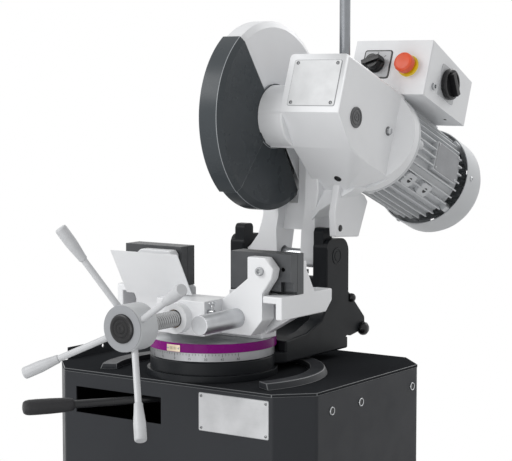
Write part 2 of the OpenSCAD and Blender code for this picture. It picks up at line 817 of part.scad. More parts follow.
// Gusset from the right leg's outer edge up to the bell
module head_gusset() {
  top = spindle_z - 124;
  x1 = gear_x0 + 83;
  intersection() {
    along_y(pivot_y - 60, pivot_y + 60) polygon([[gear_x0, pivot_z + 70], [gear_x0 + 16, pivot_z + 90],
      [x1, top - 18], [x1, top], [gear_x0, top]]);
    along_x(gear_x0, x1) polygon([[pivot_y - 35, pivot_z + 70], [pivot_y - 31, pivot_z + 90],
      [pivot_y - 14, top - 18], [pivot_y + 5, top], [pivot_y + 40, top], [pivot_y + 40, pivot_z + 70]]);
  }
}

module head_lug() {
  polygon([[pivot_y - 39, pivot_z + 88], [pivot_y - 35, pivot_z + 41], [pivot_y + 50, pivot_z + 35],
    [pivot_y + 84, pivot_z + 103], [pivot_y + 40, spindle_z - 124], [pivot_y - 20, spindle_z - 114]]);
}

module head_casting() {
  lug_x = cheek_out + 4;
  color(white) difference() {
    union() {
      head() {
        along_x(gear_x0, gear_x1) gearbox_side();
        gearbox_low();
        flange_flare();
        motor_axis() rod_u(motor_flange_r, flange_u0, flange_u1);
      }
      translate([0, spindle_y, spindle_z]) along_x(boss_x0, gear_x0 + 4) boss_side();
      rod_x(spindle_y, spindle_z, spigot_r, hood_half, boss_x0);
      head_legs();
      head_gusset();
      along_x(lug_x, lug_x + 16) head_lug();
    }
    rod_x(spindle_y, spindle_z, saddle_r, -leg_out - 1, hood_half);
    difference() {
      rod_x(spindle_y, spindle_z, saddle_r, hood_half - 1, boss_x0);
      rod_x(spindle_y, spindle_z, spigot_r, hood_half - 2, boss_x0 + 1);
    }
    head() {
      cavity();
      block([gear_x0 - 60, -20, box_v0], [gear_x1 + 60, frame_u1, box_v0 + 60]);
      rod_x(0, 0, bearing_r, hood_half - 1, gear_x0 + cavity_wall + 1);
      rod_x(0, 0, cover_r, gear_x1 - cavity_wall - 1, gear_x1 + 1);
      worm_axis() rod_u(worm_bearing_r, worm_u0, cavity_u0 + 1);
      plug_hole();
      filler_hole();
    }
    head() motor_axis() rod_u(motor_flange_r + 1.5, flange_u1, frame_u1);
    rod_x(pivot_y, pivot_z, bush_out_r, -leg_out - 1, leg_out + 1);
    rod_x(pivot_y - 21, pivot_z + 57, 5, lug_x - 1, lug_x + 17);
  }
}

bearing_r = 36;
cover_r = 20;
plug_r = 6;
plug_head_r = 9;
worm_bearing_r = 16;
bush_out_r = pivot_d / 2 + 4;
function inner_slope(u) = let (a = slope_a + slope_wall * slope_n)
  a[1] + (slope_b[1] - slope_a[1]) * (u - a[0]) / (slope_b[0] - slope_a[0]);
// Inside of the gearbox, which follows its sloping front, and the gear case behind it
module cavity() {
  low = slope_b + slope_wall * slope_n;
  top = gear_top - cavity_wall;
  case_half = 45;
  along_x(gear_x0 + cavity_wall, gear_x1 - cavity_wall) polygon([[cavity_u0, top],
    [cavity_u0, inner_slope(cavity_u0)], low, [gears_u0, low[1]], [gears_u0, top]]);
  block([motor_x - case_half, gears_u0 - 2, motor_v - case_half],
    [motor_x + case_half, flange_u1 + 1, top]);
}
module plug_hole() { rod_x(plug_u, plug_v, plug_r, gear_x1 - 20, gear_x1 + 1); }
module filler_hole() { rod_z(motor_x - 6, 0, plug_r, gear_top - cavity_wall - 1, gear_top + 1); }

// Bushes in the legs, each with a thrust collar against its cheek
module pivot_bushes() {
  color("peru") difference() {
    both_sides() {
      rod_x(pivot_y, pivot_z, bush_out_r, 45, leg_out);
      rod_x(pivot_y, pivot_z, bush_out_r + 4, leg_out, cheek_in - face_gap);
    }
    rod_x(pivot_y, pivot_z, pivot_d / 2 + run_fit, -cheek_in, cheek_in);
  }
}

// Blank plate on the gearbox front, which leans with that face
module head_plate() {
  lean = atan((slope_a[0] - face_u) / (gear_top - slope_a[1]));
  margin = 13;
  foot = 12;
  color(steel) head() translate([gear_x0 + margin, slope_a[0], slope_a[1]]) rotate([lean, 0, 0])
    block([0, -plate_t, foot], [gear_w - 2 * margin, 0, gear_top]);
}

// Spindle cover, oil plug and filler plug
module plugs() {
  color(dark) head() {
    rod_x(0, 0, cover_r, gear_x1 - cavity_wall, gear_x1 + 2);
    rod_x(plug_u, plug_v, plug_r, gear_x1 - cavity_wall, gear_x1);
    rod_x(plug_u, plug_v, plug_head_r, gear_x1, gear_x1 + 7);
    rod_z(motor_x - 6, 0, plug_r, gear_top - cavity_wall, gear_top);
    rod_z(motor_x - 6, 0, plug_head_r, gear_top, gear_top + 6);
  }
}

// Blade guards: sectors of one bevelled shell, angles counted up from the front
module guard_outline(r_out, r_in, half) {
  polygon([[r_in, -half], [r_out - bevel_r, -half], [r_out, bevel_x - half], [r_out, half - bevel_x],
    [r_out - bevel_r, half], [r_in, half]]);
}
module guard_shell(r_out, r_in, half, a0, a1) {
  translate([0, spindle_y, spindle_z]) rotate([90, 0, 90]) rotate(180 - a1) rotate_extrude(angle = a1 - a0)
    difference() {
      guard_outline(r_out, r_in, half);
      guard_outline(r_out - guard_t, r_in - 1, half - guard_t);
    }
}

module guard_hood() {
  color(white) guard_shell(hood_r, 48, hood_half, split_top + 1, hood_end);
}

module guard_lower() {
  color(dark) guard_shell(hood_r, 48, hood_half, lower_end, split_low - 1);
}

module guard_front() {
  ring_w = 7;
  ring_step = 0.2;
  color(dark) {
    guard_shell(guard_r, spigot_r + 3, guard_half, split_low, split_top);
    translate([guard_half - guard_t - ring_step, spindle_y, spindle_z]) rotate([0, 90, 0]) rotate_extrude()
      translate([spigot_r + run_fit, 0]) square([ring_w, guard_t]);
  }
}

// Spindle with its worm wheel, and the blade clamped on its nose
module wheel_tooth() {
  half = worm_pitch / 4 - backlash / 2;
  rise = worm_module * 0.95;
  drop = worm_module * 1.15;
  slope = tan(20);
  polygon([[-half - drop * slope, -drop], [half + drop * slope, -drop], [half - rise * slope, rise],
    [rise * slope - half, rise]]);
}

module worm_wheel() {
  face = 22;
  rod_x(0, 0, wheel_r - worm_module * 1.1, motor_x - face / 2, motor_x + face / 2);
  for (i = [0 : wheel_teeth - 1]) rotate([(i + 0.5) * 360 / wheel_teeth, 0, 0])
    translate([motor_x, 0, wheel_r]) rotate([0, 0, -worm_lead]) along_x(-face / 2, face / 2) wheel_tooth();
}

module spindle() {
  nose = blade_t / 2;
  color(steel) head() {
    rod_x(0, 0, spindle_r, nose + clamp_t, gear_x1 - cavity_wall - 1);
    rod_x(0, 0, clamp_r, nose, nose + clamp_t);
    rod_x(0, 0, clamp_r, -nose - clamp_t, -nose);
    rod_x(0, 0, blade_bore / 2, -nose - clamp_t, nose);
    rod_x(0, 0, 12, -nose - clamp_t - 8, -nose - clamp_t);
    worm_wheel();
  }
}

function blade_points(n, r, depth) = [for (i = [0 : n - 1], k = [0, 1, 2])
  let (a = (i + [0, 0.15, 0.5][k]) * 360 / n, q = r - [0, depth, depth * 0.5][k]) [q * cos(a), q * sin(a)]];
module blade() {
  color(steel) head() along_x(-blade_t / 2, blade_t / 2) difference() {
    polygon(blade_points(blade_teeth, blade_d / 2, 4));
    circle(d = blade_bore);
  }
}

module spindle_bearings() {
  color(steel) head() difference() {
    union() {
      rod_x(0, 0, bearing_r, gear_x0 - 20, gear_x0 + cavity_wall);
      rod_x(0, 0, bearing_r, gear_x1 - cavity_wall - 18, gear_x1 - cavity_wall);
      worm_axis() {
        rod_u(worm_bearing_r, worm_u0, cavity_u0 + 4);
        rod_u(worm_bearing_r, flange_u1, worm_u1);
      }
    }
    rod_x(0, 0, spindle_r + run_fit, gear_x0 - 30, gear_x1);
    worm_axis() rod_u(worm_shaft_r + run_fit, worm_u0 - 1, worm_u1 + 1);
  }
}

// Worm: one helical thread on the shaft, which a spur gear on its rear end turns
function worm_ring(k, n) = let (a = k * 360 / n, u = (k / n - worm_turns / 2) * worm_pitch,
  half = worm_pitch / 4 - backlash / 2, s = tan(20),
  tip = worm_r + worm_module * 0.95, root = worm_r - worm_module * 1.3)
  [for (p = [[root, -half - (worm_r - root) * s], [tip, (tip - worm_r) * s - half],
    [tip, half - (tip - worm_r) * s], [root, half + (worm_r - root) * s]])
    [-p[0] * sin(a), u + p[1], -p[0] * cos(a)]];
worm_turns = 6;
worm_steps = 30;
module worm_thread() {
  n = worm_turns * worm_steps;
  points = [for (k = [0 : n]) each worm_ring(k, worm_steps)];
  walls = [for (k = [0 : n - 1], j = [0 : 3]) let (a = 4 * k + j, b = 4 * k + (j + 1) % 4)
    each [[a, b, a + 4], [b, b + 4, a + 4]]];
  last = 4 * n;
  polyhedron(points, concat([[0, 2, 1], [0, 3, 2]], walls,
    [[last, last + 1, last + 2], [last, last + 2, last + 3]]));
}

function involute_turn(a) = tan(a) * 180 / PI - a;
function tooth_half(n, m, r) = let (base = m * n * cos(20) / 2, a = r > base ? acos(base / r) : 0)
  90 / n - backlash / 2 / (m * n) * 180 / PI + involute_turn(20) - involute_turn(a);
function tooth_radii(n, m) = let (r0 = m * n / 2 - 1.25 * m, r1 = m * n / 2 + 0.95 * m)
  [for (k = [0 : 5]) r0 + (r1 - r0) * k / 5];
module spur_gear(n, m) {
  radii = tooth_radii(n, m);
  flank = [for (r = radii) [r, tooth_half(n, m, r)]];
  polygon([for (i = [0 : n - 1]) each concat(
    [for (k = [0 : 5]) let (a = i * 360 / n - flank[k][1]) flank[k][0] * [sin(a), cos(a)]],
    [for (k = [5 : -1 : 0]) let (a = i * 360 / n + flank[k][1]) flank[k][0] * [sin(a), cos(a)]])]);
}

module worm_shaft() {
  color(steel) head() worm_axis() {
    rod_u(worm_shaft_r, worm_u0, worm_u1);
    rod_u(worm_r - worm_module * 1.2, -worm_pitch * worm_turns / 2 - 4, worm_pitch * worm_turns / 2 + 4);
    worm_thread();
    along_y(gears_u0, gears_u1) rotate(gear_teeth % 2 == 0 ? 180 / gear_teeth : 0)
      spur_gear(gear_teeth, pinion_module);
  }
}

// Motor: finned frame, stator, rear shield, fan cover and the turning rotor with fan and pinion
module motor_frame() {
  pad_half = 44;
  color("lightgray") head() difference() {
    union() {
      motor_axis() {
        rod_u(motor_flange_r, flange_u1, frame_u0);
        rod_u(frame_r, frame_u0, frame_u1);
        for (i = [0 : fin_count - 1]) rotate([0, i * 360 / fin_count, 0])
          block([frame_r - 1, frame_u0 + 8, -1.5], [fin_r, frame_u1, 1.5]);
      }
      block([motor_x - pad_half, frame_u0 + 50, motor_v], [motor_x + pad_half, frame_u1 - 40, box_v0]);
    }
    motor_axis() {
      rod_u(stator_r, frame_u0 + 6, frame_u1 + 1);
      rod_u(shaft_r + run_fit, flange_u1 - 1, frame_u0 + 7);
    }
    worm_axis() rod_u(worm_bearing_r, flange_u1 - 1, worm_u1);
    block([motor_x - 120, flange_u0, box_v0], [motor_x + 120, frame_u1 + 1, box_v0 + 40]);
  }
}

module stator() {
  color("peru") head() motor_axis() difference() {
    rod_u(stator_r, frame_u0 + 25, frame_u1 - 40);
    rod_u(rotor_r + 1, frame_u0 + 24, frame_u1 - 39);
  }
}

module end_shield() {
  color("lightgray") head() motor_axis() difference() {
    union() {
      rod_u(frame_r, frame_u1, frame_u1 + 6);
      for (i = [0 : 3]) rotate([0, 45 + 90 * i, 0])
        block([frame_r - 20, frame_u1, -6], [motor_flange_r - cover_t - face_gap, cover_u0 + 20, 6]);
    }
    rod_u(shaft_r + run_fit, frame_u1 - 1, frame_u1 + 7);
    rod_u(frame_r - 8, frame_u1 + 6, cover_u0 + 30);
  }
}

module fan_cover() {
  wall = cover_t;
  color("lightgray") head() motor_axis() difference() {
    translate([0, cover_u1, 0]) rotate([90, 0, 0]) rotate_extrude() difference() {
      polygon([[0, 0], [motor_flange_r - 16, 0], [motor_flange_r - 5, 4], [motor_flange_r, 16],
        [motor_flange_r, fan_cover_l], [0, fan_cover_l]]);
      polygon([[0, wall], [motor_flange_r - 17, wall], [motor_flange_r - 7, 6], [motor_flange_r - wall, 17],
        [motor_flange_r - wall, fan_cover_l + 1], [0, fan_cover_l + 1]]);
    }
    for (i = [0 : 11]) rotate([0, i * 30, 0])
      block([24, cover_u1 - wall - 1, -4], [motor_flange_r - 24, cover_u1 + 1, 4]);
  }
}

module rotor() {
  fan_u0 = cover_u0 + 26;
  fan_r = motor_flange_r - 18;
  nose_r = 8;
  blades = 7;
  color(steel) head() motor_axis() {
    rod_u(nose_r, gears_u0 - 4, gears_u1 + 4);
    rod_u(shaft_r, gears_u1 + 3, fan_u0 + 24);
    rod_u(rotor_r, frame_u0 + 27, frame_u1 - 42);
    along_y(gears_u0, gears_u1) spur_gear(pinion_teeth, pinion_module);
    rod_u(26, fan_u0, fan_u0 + 24);
    rod_u(fan_r, fan_u0, fan_u0 + 3);
    for (i = [0 : blades - 1]) rotate([0, i * 360 / blades, 0])
      block([20, fan_u0, -1.5], [fan_r, fan_u0 + 22, 1.5]);
  }
}

// Control box on the motor's pad: shell, front panel, plates, and three turning or pushing controls
module box_side() {
  polygon([[box_u0, box_v0], [box_u0, box_v0 + box_front_h], [box_u0 + box_l, box_v0 + box_rear_h],
    [box_u0 + box_l, box_v0]]);
}
module box_inside() {
  polygon([[box_u0 - 1, box_v0 + box_t], [box_u0 - 1, box_v0 + box_front_h - box_t],
    [box_u0 + box_l - box_t, box_v0 + box_rear_h - box_t], [box_u0 + box_l - box_t, box_v0 + box_t]]);
}
module control_box() {
  color(white) head() difference() {
    along_x(box_x0, box_x0 + box_w) box_side();
    along_x(box_x0 + box_t, box_x0 + box_w - box_t) box_inside();
    rod_x(main_u, main_v, control_r + run_fit, box_x0 + box_w - box_t - 1, box_x0 + box_w + 1);
  }
}
control_r = 6;
module control_panel() {
  color(white) head() difference() {
    block([box_x0, box_u0 - panel_t, box_v0], [box_x0 + box_w, box_u0, box_v0 + box_front_h]);
    for (p = [[selector_x, selector_v], [stop_x, stop_v]])
      rod_y(p[0], p[1], control_r + run_fit, box_u0 - panel_t - 1, box_u0 + 1);
  }
}
module switch_plates() {
  color("gray") head() difference() {
    union() {
      block([selector_x - 32, box_u0 - panel_t - 2, selector_v - 30],
        [selector_x + 32, box_u0 - panel_t, selector_v + 30]);
      rod_y(stop_x, stop_v, 22, box_u0 - panel_t - 4, box_u0 - panel_t);
      block([box_x0 + box_w, main_u - switch_half, main_v - switch_half],
        [box_x0 + box_w + 2, main_u + switch_half, main_v + switch_half]);
    }
    for (p = [[selector_x, selector_v], [stop_x, stop_v]])
      rod_y(p[0], p[1], control_r + run_fit, box_u0 - panel_t - 5, box_u0);
    rod_x(main_u, main_v, control_r + run_fit, box_x0 + box_w - 1, box_x0 + box_w + 3);
  }
}
module knob_outline() {
  polygon([[0, 0], [19, 0], [18, 5], [15, 7], [14, 22], [0, 22]]);
}
module selector_knob() {
  face = box_u0 - panel_t - 2 - face_gap;
  handle_turn = 70;
  color(black) head() translate([selector_x, face, selector_v]) {
    rod_y(0, 0, control_r, 0, panel_t + 6);
    rotate([90, 0, 0]) rotate_extrude() knob_outline();
    rotate([0, handle_turn, 0]) block([-5, -28, -20], [5, -6, 20]);
  }
}
module stop_button() {
  face = box_u0 - panel_t - 4 - face_gap;
  color("orangered") head() translate([stop_x, face, stop_v]) {
    rod_y(0, 0, control_r, -stop_travel - 8, panel_t + 10);
    translate([0, -stop_travel, 0]) rotate([90, 0, 0]) rotate_extrude()
      polygon([[0, 0], [14, 0], [20, 8], [20, 14], [17, 18], [10, 20], [0, 20]]);
  }
}
module main_switch() {
  color(black) head() translate([box_x0 + box_w + 2 + face_gap, main_u, main_v]) {
    rod_x(0, 0, control_r, -box_t - 6, 0);
    rotate([0, 90, 0]) rotate_extrude() polygon([[0, 0], [switch_r - 1, 0], [switch_r, 2], [switch_r, 9],
      [switch_r - 2, 11], [switch_r - 5, 11], [switch_r - 6, 8], [0, 8]]);
    rotate([45, 0, 0]) block([7, -6, -24], [20, 6, 24]);
  }
}

// Feed lever, cut to the gearbox's sloping top, with a rubber grip and a thumb button on its end
module feed_lever() {
  color("silver") difference() {
    rod_z(lever_x, lever_y, lever_d / 2, lever_z0, lever_z0 + lever_l);
    head() block([lever_x - 60, -100, -100], [lever_x + 60, 200, gear_top]);
  }
}
module lever_grip() {
  z1 = lever_z0 + lever_l;
  color(black) translate([lever_x, lever_y, z1 - grip_l]) difference() {
    rotate_extrude() polygon([[0, 0], [lever_d / 2 + 3, 0], [lever_d / 2 + 5, 6],
      [lever_d / 2 + 4, grip_l / 2], [lever_d / 2 + 5, grip_l], [lever_d / 2 + 2, grip_l + grip_cap],
      [0, grip_l + grip_cap]]);
    translate([0, 0, -1]) cylinder(d = lever_d, h = grip_l + 1);
    translate([0, 0, grip_l - 1]) cylinder(r = button_r + run_fit, h = grip_cap + 2);
  }
}
module grip_button() {
  color("firebrick") translate([lever_x, lever_y, lever_z0 + lever_l + button_travel + face_gap])
    rotate_extrude() polygon([[0, 0], [button_r, 0], [button_r, grip_cap - 1], [button_r - 2, grip_cap + 1],
      [0, grip_cap + 1]]);
}

machine() stand_cabinet();
machine() stand_top();
machine() splash_plate();
machine() coolant_dam();
machine() front_plate();
machine() side_fittings();
machine() clamp_bolt();
machine() turntable_flange();
machine() base_disc();
machine() index_ring();
machine() pointer_plate();
machine() vise_base();
machine() fixed_jaws();
machine() fixed_jaw_screws();
machine() guide_bar();
machine() screw_bush();
machine() lock_lever();
machine() lock_grip();
machine() moving_jaw();
machine() moving_jaw_plates();
machine() jaw_screws();
machine() chip_deflector();
machine() vise_nut();
machine() stop_pin();
machine() vise_screw();
machine() thrust_nut();
machine() handwheel_hub();
machine() hub_cap();
machine() spokes();
machine() spoke_grips();
machine() swivel_casting();
machine() scale_ring();
machine() pivot_shaft();
machine() pivot_plugs();
machine() stop_bolt();
machine() head_casting();
machine() pivot_bushes();
machine() head_plate();
machine() plugs();
machine() guard_hood();
machine() guard_lower();
machine() spindle_bearings();
machine() motor_frame();
machine() stator();
machine() end_shield();
machine() fan_cover();
machine() control_box();
machine() control_panel();
machine() switch_plates();
machine() feed_lever();
machine() lever_grip();
machine() guard_front();
machine() spindle();
machine() blade();
machine() worm_shaft();
machine() rotor();
machine() stop_button();
machine() selector_knob();
machine() main_switch();
machine() grip_button();
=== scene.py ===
# %% [markdown]
# # A cold saw on its cabinet stand
#
# The solids of the machine come from the frame, at their real size and in their real place. This
# notebook gives them their looks: edges that are eased as on real castings and folded sheet, paint,
# ground steel and moulded plastic, and the small fittings that a solid model leaves out.

# %% Load the frame
import json
import math

import bmesh
import bpy
from mathutils import Matrix, Vector


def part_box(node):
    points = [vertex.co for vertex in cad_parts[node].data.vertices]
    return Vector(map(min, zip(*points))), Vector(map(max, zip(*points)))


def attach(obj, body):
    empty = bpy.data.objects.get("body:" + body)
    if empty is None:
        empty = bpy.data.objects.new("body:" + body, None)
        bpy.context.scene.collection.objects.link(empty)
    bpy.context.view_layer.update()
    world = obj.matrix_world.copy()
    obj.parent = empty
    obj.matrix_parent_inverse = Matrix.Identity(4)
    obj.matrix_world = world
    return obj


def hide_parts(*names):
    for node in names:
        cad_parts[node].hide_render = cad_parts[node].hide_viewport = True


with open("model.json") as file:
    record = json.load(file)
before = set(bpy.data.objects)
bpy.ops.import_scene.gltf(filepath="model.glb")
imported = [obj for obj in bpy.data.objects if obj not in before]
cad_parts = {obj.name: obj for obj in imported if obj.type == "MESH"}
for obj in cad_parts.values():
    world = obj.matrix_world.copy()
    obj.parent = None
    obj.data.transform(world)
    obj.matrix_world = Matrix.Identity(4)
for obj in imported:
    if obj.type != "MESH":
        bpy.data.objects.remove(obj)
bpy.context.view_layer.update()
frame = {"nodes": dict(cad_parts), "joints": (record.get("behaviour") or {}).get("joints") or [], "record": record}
joints = {joint["name"]: joint for joint in frame["joints"]}
body_of = {n: body for body, names in frame["record"]["behaviour"]["bodies"].items() for n in names}
slot_of = {part["node"]: part["material_slot"] for part in frame["record"]["subparts"]}

# %% [markdown]
# Two sets of directions are handy. The stand, vise and swivel are upright, so their places are given
# from the swivel axis and the floor. The saw head leans back, so its places are given from the
# spindle: across, along the motor, and square to it.

# %% Places on the machine
MM = 0.001
SWIVEL = Vector(joints["swivel_turn"]["pos_m"])
SWIVEL.z = 0
SPINDLE = Vector(joints["spindle_spin"]["pos_m"])
PIVOT = Vector(joints["head_tilt"]["pos_m"])
SCREW = Vector(joints["handwheel_spin"]["pos_m"])
ACROSS = Vector((1, 0, 0))
BACK = Vector((0, 1, 0))
UP = Vector((0, 0, 1))
ALONG = Vector(joints["motor_spin"]["axis"]).normalized()
ABOVE = ACROSS.cross(ALONG)


def machine(x, y, z):
    """A point in millimetres from the swivel axis and the floor."""
    return SWIVEL + Vector((x, y, z)) * MM


def on_head(x, along, above):
    """A point in millimetres from the blade's middle, in the directions of the leaning head."""
    return SPINDLE + (ACROSS * x + ALONG * along + ABOVE * above) * MM


def axes(origin, x_axis, y_axis):
    """The place of a piece whose own x, y and z run along the given directions."""
    z_axis = x_axis.cross(y_axis)
    turn = Matrix((x_axis, y_axis, z_axis)).transposed().to_4x4()
    return Matrix.Translation(origin) @ turn


def span(node, axis):
    """How far a solid reaches along an axis of the head, in millimetres from the spindle."""
    reach = [(vertex.co - SPINDLE).dot(axis) / MM for vertex in frame["nodes"][node].data.vertices]
    return min(reach), max(reach)


GEAR_TOP = span("feed_lever", ABOVE)[0]
HEAD_LEAN = math.degrees(math.asin(-ALONG.z))
print("spindle", [round(v, 4) for v in SPINDLE], "head leans", round(HEAD_LEAN, 1))

# %% [markdown]
# The camera stands where the photographer stood: to the machine's front right, a little above the
# vise, with a long lens. Its place was solved from the straight edges of the stand and the vise.

# %% Camera
CAMERA_PLACE = machine(1833.6, -2504.0, 1353.1)
CAMERA_AZIMUTH = math.radians(34.7)
CAMERA_PITCH = math.radians(5.26)
FOCAL_PIXELS = 1666
FRAME_PIXELS = 512
SENSOR_MM = 36

camera_data = bpy.data.cameras.new("camera")
camera_data.sensor_fit = "HORIZONTAL"
camera_data.sensor_width = SENSOR_MM
camera_data.lens = SENSOR_MM * FOCAL_PIXELS / FRAME_PIXELS
camera = bpy.data.objects.new("camera", camera_data)
camera.location = CAMERA_PLACE
camera.rotation_euler = (math.pi / 2 - CAMERA_PITCH, 0, CAMERA_AZIMUTH)
bpy.context.scene.collection.objects.link(camera)
bpy.context.scene.camera = camera
print("lens", round(camera_data.lens, 1), "mm")

# %% [markdown]
# A product photograph of a white machine is lit by large soft boxes. A wide key light from the upper
# left models the castings, a low one in front reaches the facets that look down, and a light from
# behind draws the rims. The world is white to the camera and to reflections, and dimmer as a light.

# %% World, lights and floor
AMBIENT = 0.55


def white_world():
    """White to the camera and to reflections, and dimmer as a light."""
    world = bpy.data.worlds.new("studio")
    bpy.context.scene.world = world
    world.use_nodes = True
    nodes, links = world.node_tree.nodes, world.node_tree.links
    sky = nodes["Background"]
    path = nodes.new("ShaderNodeLightPath")
    either = nodes.new("ShaderNodeMath")
    either.operation = "MAXIMUM"
    links.new(path.outputs["Is Camera Ray"], either.inputs[0])
    links.new(path.outputs["Is Transmission Ray"], either.inputs[1])
    both = nodes.new("ShaderNodeMath")
    both.operation = "MAXIMUM"
    links.new(either.outputs[0], both.inputs[0])
    links.new(path.outputs["Is Glossy Ray"], both.inputs[1])
    level = nodes.new("ShaderNodeMapRange")
    level.inputs["To Min"].default_value = AMBIENT
    links.new(both.outputs[0], level.inputs["Value"])
    links.new(level.outputs["Result"], sky.inputs["Strength"])
    sky.inputs["Color"].default_value = (1, 1, 1, 1)


def soft_box(name, place, target, size, power):
    """A wide rectangular lamp that looks at a target."""
    light = bpy.data.lights.new(name, "AREA")
    light.shape = "RECTANGLE"
    light.size, light.size_y = size
    light.energy = power
    lamp = bpy.data.objects.new(name, light)
    lamp.location = place
    lamp.rotation_euler = (target - place).to_track_quat("-Z", "Y").to_euler()
    bpy.context.scene.collection.objects.link(lamp)


white_world()
middle = machine(0, 100, 1100)
soft_box("key", machine(-1700, -2300, 2900), middle, (2.2, 1.6), 50)
soft_box("front", machine(100, -3200, 700), middle, (2.6, 1.2), 26)
soft_box("rim", machine(600, 2200, 2500), middle, (2.0, 1.2), 24)

FLOOR_RADIUS = 2.2
bpy.ops.mesh.primitive_circle_add(vertices=96, radius=FLOOR_RADIUS, fill_type="NGON",
                                  location=machine(0, 113, 0))
floor = bpy.context.object
floor.name = "floor"

# %% [markdown]
# Every finish is built from the same few strokes: a cloudy pattern that shifts the colour a little, a
# second one that makes some spots duller, and a fine bump for the texture of paint, casting or
# grinding. The strokes are written once here, with the size of their grain in millimetres.

# %% Strokes of a finish
DARK_END = 0.3
LIGHT_END = 0.7


def new_finish(name, roughness, metallic=0.0, shine=0.5):
    """A material with an empty shader; shine is how strongly a paint or plastic mirrors."""
    finish = bpy.data.materials.new(name)
    finish.use_nodes = True
    shader = finish.node_tree.nodes["Principled BSDF"]
    shader.inputs["Specular IOR Level"].default_value = shine
    shader.inputs["Roughness"].default_value = roughness
    shader.inputs["Metallic"].default_value = metallic
    return finish


def cloud(finish, grain_mm, stretch=(1, 1, 1), detail=4.0):
    """A noise pattern in object space, its grain in millimetres."""
    nodes, links = finish.node_tree.nodes, finish.node_tree.links
    place = nodes.new("ShaderNodeTexCoord")
    size = nodes.new("ShaderNodeMapping")
    size.inputs["Scale"].default_value = [s / (grain_mm * MM) for s in stretch]
    noise = nodes.new("ShaderNodeTexNoise")
    noise.inputs["Scale"].default_value = 1.0
    noise.inputs["Detail"].default_value = detail
    links.new(place.outputs["Object"], size.inputs["Vector"])
    links.new(size.outputs["Vector"], noise.inputs["Vector"])
    return noise


def tint(finish, pattern, dark, light):
    """The colour runs from dark to light with the pattern."""
    nodes, links = finish.node_tree.nodes, finish.node_tree.links
    ramp = nodes.new("ShaderNodeValToRGB")
    ramp.color_ramp.elements[0].position = DARK_END
    ramp.color_ramp.elements[0].color = (*dark, 1)
    ramp.color_ramp.elements[1].position = LIGHT_END
    ramp.color_ramp.elements[1].color = (*light, 1)
    links.new(pattern.outputs["Fac"], ramp.inputs["Fac"])
    links.new(ramp.outputs["Color"], nodes["Principled BSDF"].inputs["Base Color"])


def gloss(finish, pattern, low, high):
    """The roughness runs from low to high with the pattern."""
    nodes, links = finish.node_tree.nodes, finish.node_tree.links
    level = nodes.new("ShaderNodeMapRange")
    level.inputs["From Min"].default_value = DARK_END
    level.inputs["From Max"].default_value = LIGHT_END
    level.inputs["To Min"].default_value = low
    level.inputs["To Max"].default_value = high
    links.new(pattern.outputs["Fac"], level.inputs["Value"])
    links.new(level.outputs["Result"], nodes["Principled BSDF"].inputs["Roughness"])


def relief(finish, pattern, height_mm, strength=1.0):
    """The pattern as a fine bump of a given height."""
    nodes, links = finish.node_tree.nodes, finish.node_tree.links
    bump = nodes.new("ShaderNodeBump")
    bump.inputs["Distance"].default_value = height_mm * MM
    bump.inputs["Strength"].default_value = strength
    links.new(pattern.outputs["Fac"], bump.inputs["Height"])
    links.new(bump.outputs["Normal"], nodes["Principled BSDF"].inputs["Normal"])


def shade(colour, amount):
    """A colour made lighter or darker."""
    return tuple(min(1.0, c * amount) for c in colour)


# %% [markdown]
# Enamel on castings has a slight orange peel, powder coat on sheet is finer and flatter, bare steel
# keeps the lines of the tool that cut it, and plastic has a moulded grain.

# %% Kinds of finish


def enamel(name, colour, roughness, peel_mm=2.4, peel_height=0.03, shine=0.5):
    """Paint with a slight orange peel."""
    finish = new_finish(name, roughness, shine=shine)
    tint(finish, cloud(finish, 120), shade(colour, 0.96), shade(colour, 1.02))
    gloss(finish, cloud(finish, 45), roughness - 0.05, roughness + 0.07)
    relief(finish, cloud(finish, peel_mm, detail=2), peel_height)
    return finish


def steel(name, colour, roughness, stretch, line_mm=1.4):
    """Bare metal with the fine lines of its tool along one direction."""
    finish = new_finish(name, roughness, metallic=1.0)
    tint(finish, cloud(finish, 40), shade(colour, 0.88), shade(colour, 1.06))
    lines = cloud(finish, line_mm, stretch, detail=3)
    gloss(finish, lines, roughness - 0.05, roughness + 0.06)
    relief(finish, lines, 0.01, 0.25)
    return finish


def plastic(name, colour, roughness, grain_mm=0.9, height=0.02, shine=0.5):
    """Plastic or rubber with a moulded grain."""
    finish = new_finish(name, roughness, shine=shine)
    tint(finish, cloud(finish, 30), shade(colour, 0.92), shade(colour, 1.06))
    gloss(finish, cloud(finish, 14), roughness - 0.04, roughness + 0.06)
    relief(finish, cloud(finish, grain_mm, detail=2), height)
    return finish
